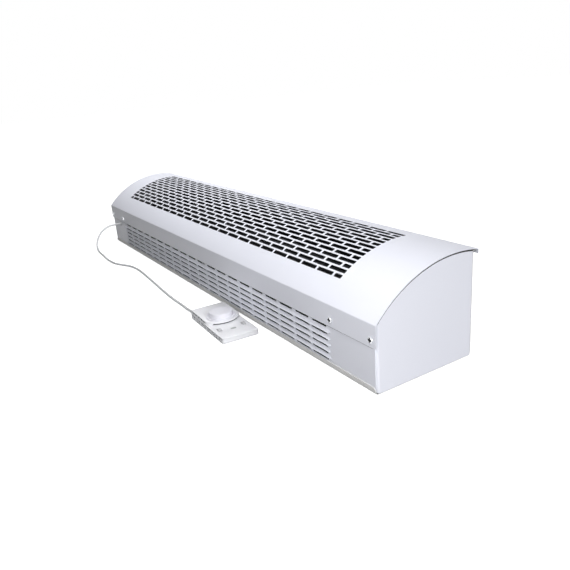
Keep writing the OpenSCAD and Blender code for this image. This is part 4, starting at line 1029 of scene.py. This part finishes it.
gland = dict(
    place=(-0.490, 0.0865, 0.060),
    body=((0.0050, -0.0120), (0.0074, -0.0120), (0.0080, -0.0114), (0.0080, 0), (0.0114, 0), (0.0120, 0.0006),
          (0.0120, 0.0064), (0.0114, 0.0070), (0.0050, 0.0070)),
    bodyFlat=0.0104,
    nutAt=-0.0012,
    nut=((0.0080, 0), (0.0109, 0), (0.0115, 0.0005), (0.0115, 0.0035), (0.0109, 0.0040), (0.0080, 0.0040)),
    nutFlat=0.00996,
    capAt=0.0070,
    cap=((0.0050, 0), (0.0096, 0), (0.0100, 0.0004), (0.0100, 0.0010), (0.0100, 0.0052), (0.0100, 0.0056),
         (0.0096, 0.0060), (0.0089, 0.0076), (0.0080, 0.0090), (0.0073, 0.0095), (0.0060, 0.0095),
         (0.0055, 0.0090), (0.0050, 0.0086)),
    capRibs=(30, 0.0005, 0.0009, 0.0053),   # number, depth, from height, to height
    nutSides=72,
    capSides=180,
)
grommet = dict(
    place=(-0.474, -0.0853, 0.057),
    sides=40,
    profile=((0.0015, -0.0032), (0.0055, -0.0032), (0.0055, -0.0016), (0.0052, -0.0012), (0.0040, -0.0012),
             (0.0040, 0), (0.0050, 0), (0.0055, 0.0004), (0.0053, 0.0010), (0.0046, 0.0016), (0.0038, 0.0019),
             (0.0028, 0.0020), (0.0024, 0.0020)),
)


# A lathed profile as a piece at its place, pointing along axis.
def makeTurned(name, node, slot, profile, sides, place, axis, **shape):
    points, faces = lathe(profile, sides, **shape)
    makePiece(name, onAxis(points, place, axis), faces, slot, [node])


# Cable gland in the rear wall, its nut inside and its ribbed cap, and the cord's grommet in the panel.
def makeGland(c, g):
    # The place on the gland's axis that lies y out from the wall.
    def along(y):
        return np.array(c["place"]) + [0, y, 0]

    out, inward, nylon = (0, 1, 0), (0, -1, 0), "gland_nylon"
    makeTurned("supplyGland", "supply_gland", nylon, c["body"], c["nutSides"], along(0), out,
               limit=hexagon(c["bodyFlat"]), closed=True)
    makeTurned("glandNut", "gland_nut", nylon, c["nut"], c["nutSides"], along(c["nutAt"]), inward,
               limit=hexagon(c["nutFlat"]), closed=True)
    makeTurned("glandCap", "gland_cap", nylon, c["cap"], c["capSides"], along(c["capAt"]), out,
               closed=True, ribs=c["capRibs"])
    makeTurned("cordGrommet", "control_grommet", "cord_sheath", g["profile"], g["sides"], g["place"], inward)
    print("gland and grommet made")


makeGland(gland, grommet)


# The nodes that stay visible take the finish that their material slot names.
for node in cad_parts.values():
    if node.hide_render:
        continue
    for slot in node.material_slots:
        if slot.material and slot.material.name in finishes:
            slot.material = finishes[slot.material.name]
print("node materials set")


studio = dict(
    floorTone=0.07,       # what the floor gives back to the object
    floorPale=((0.80,) * 3, (0.88,) * 3),   # its speckle
    floorGrain=180.0,     # scale of the speckle
    floorDullest=0.985,   # 1 is the paler tone
    floorGlow=0.83,       # makes it near white to the camera
    floorHalf=9,
    floorDrop=0.0005,     # how far it lies below the object
    lamps=(               # name, kind, place, aim, power, size (degrees of a sun, metres of a panel)
        ("sideSun", "SUN", (3.0, 0.15, 1.05), (0, 0, 0), 2.0, 25),
        ("backPanel", "AREA", (0.10, 1.50, 0.14), (0.00, 0.09, 0.09), 6.0, 0.25),
        ("frontPanel", "AREA", (0.85, -0.60, 0.35), (0.45, -0.05, 0.04), 2.4, 0.5),
        ("frontTopPanel", "AREA", (0.55, -0.42, 0.85), (0.35, -0.05, 0.08), 2.05, 0.5),
        ("nearPanel", "AREA", (0.60, -0.42, 0.50), (0.42, -0.06, 0.08), 0.7, 0.3),
        ("middlePanel", "AREA", (-0.10, 0.12, 0.75), (-0.10, 0.00, 0.12), 2.2, 0.5),
        ("leftPanel", "AREA", (-0.60, 0.12, 0.60), (-0.42, 0.00, 0.12), 0.9, 0.4),
        ("hoodPanel", "AREA", (-0.20, -0.17, 0.95), (-0.20, -0.09, 0.05), 1.3, 0.2),
        ("leftEndPanel", "AREA", (-1.70, 0.02, 0.14), (-0.53, 0.02, 0.08), 3.0, 0.25),
    ),
    notInGloss=("middlePanel", "leftPanel", "leftEndPanel"),    # they would whiten the left screws
    sky=0.02,             # light of the surroundings on the object
    skyInGloss=0.6,       # the surroundings as gloss shows them; the camera sees them at 1
)


# A pale plane. The camera, gloss and glass see it near white with the object's shadow on it;
# its bounce onto the object is that of a dark grey.
def makeFloor(c):
    s = Shader(bpy.data.materials.new("paleFloor"))
    speckle = s.ramp(s.noise(c["floorGrain"]), *look["clouds"], c["floorDullest"], 1.0)
    pale = s.add("ShaderNodeBsdfDiffuse", Color=s.blend(speckle, *c["floorPale"]))
    glow = s.add("ShaderNodeEmission", Strength=c["floorGlow"])
    both = s.add("ShaderNodeAddShader", pale.outputs[0], glow.outputs[0])
    grey = s.add("ShaderNodeBsdfDiffuse", Color=(c["floorTone"],) * 3 + (1,))
    pick = s.add("ShaderNodeMixShader", s.shown(1.0), grey.outputs[0], both.outputs[0])
    s.feed(s.out, "Surface", pick.outputs[0])
    half, z = c["floorHalf"], -c["floorDrop"]
    mesh = bpy.data.meshes.new("floor")
    corners = [(-half, -half, z), (half, -half, z), (half, half, z), (-half, half, z)]
    mesh.from_pydata(corners, [], [(0, 1, 2, 3)])
    mesh.materials.append(s.owner)
    placed("floor", mesh)


# The surroundings are white to the camera and through glass, dimmer in gloss and nearly dark as a light.
def makeSky(c):
    world = bpy.data.worlds.new("paleSurroundings")
    bpy.context.scene.world = world
    s = Shader(world, "ShaderNodeOutputWorld")
    strength = s.ramp(s.shown(c["skyInGloss"]), 0, 1, c["sky"], 1.0)
    light = s.add("ShaderNodeBackground", Color=(1, 1, 1, 1), Strength=strength)
    s.feed(s.out, "Surface", light.outputs[0])


# A lamp at its place that shines towards the aim.
def makeLamp(name, kind, place, aim, power, **props):
    obj = placed(name, adjusted(bpy.data.lights.new(name, kind), energy=power, **props))
    aimed(obj, place, np.subtract(place, aim))
    return obj


makeFloor(studio)
makeSky(studio)
for name, kind, place, aim, power, size in studio["lamps"]:
    spread = dict(angle=np.radians(size)) if kind == "SUN" else dict(shape="SQUARE", size=size)
    lamp = makeLamp(name, kind, place, aim, power, **spread)
    lamp.visible_glossy = name not in studio["notInGloss"]
bpy.context.scene.view_settings.view_transform = "Standard"
print("floor and lights made")
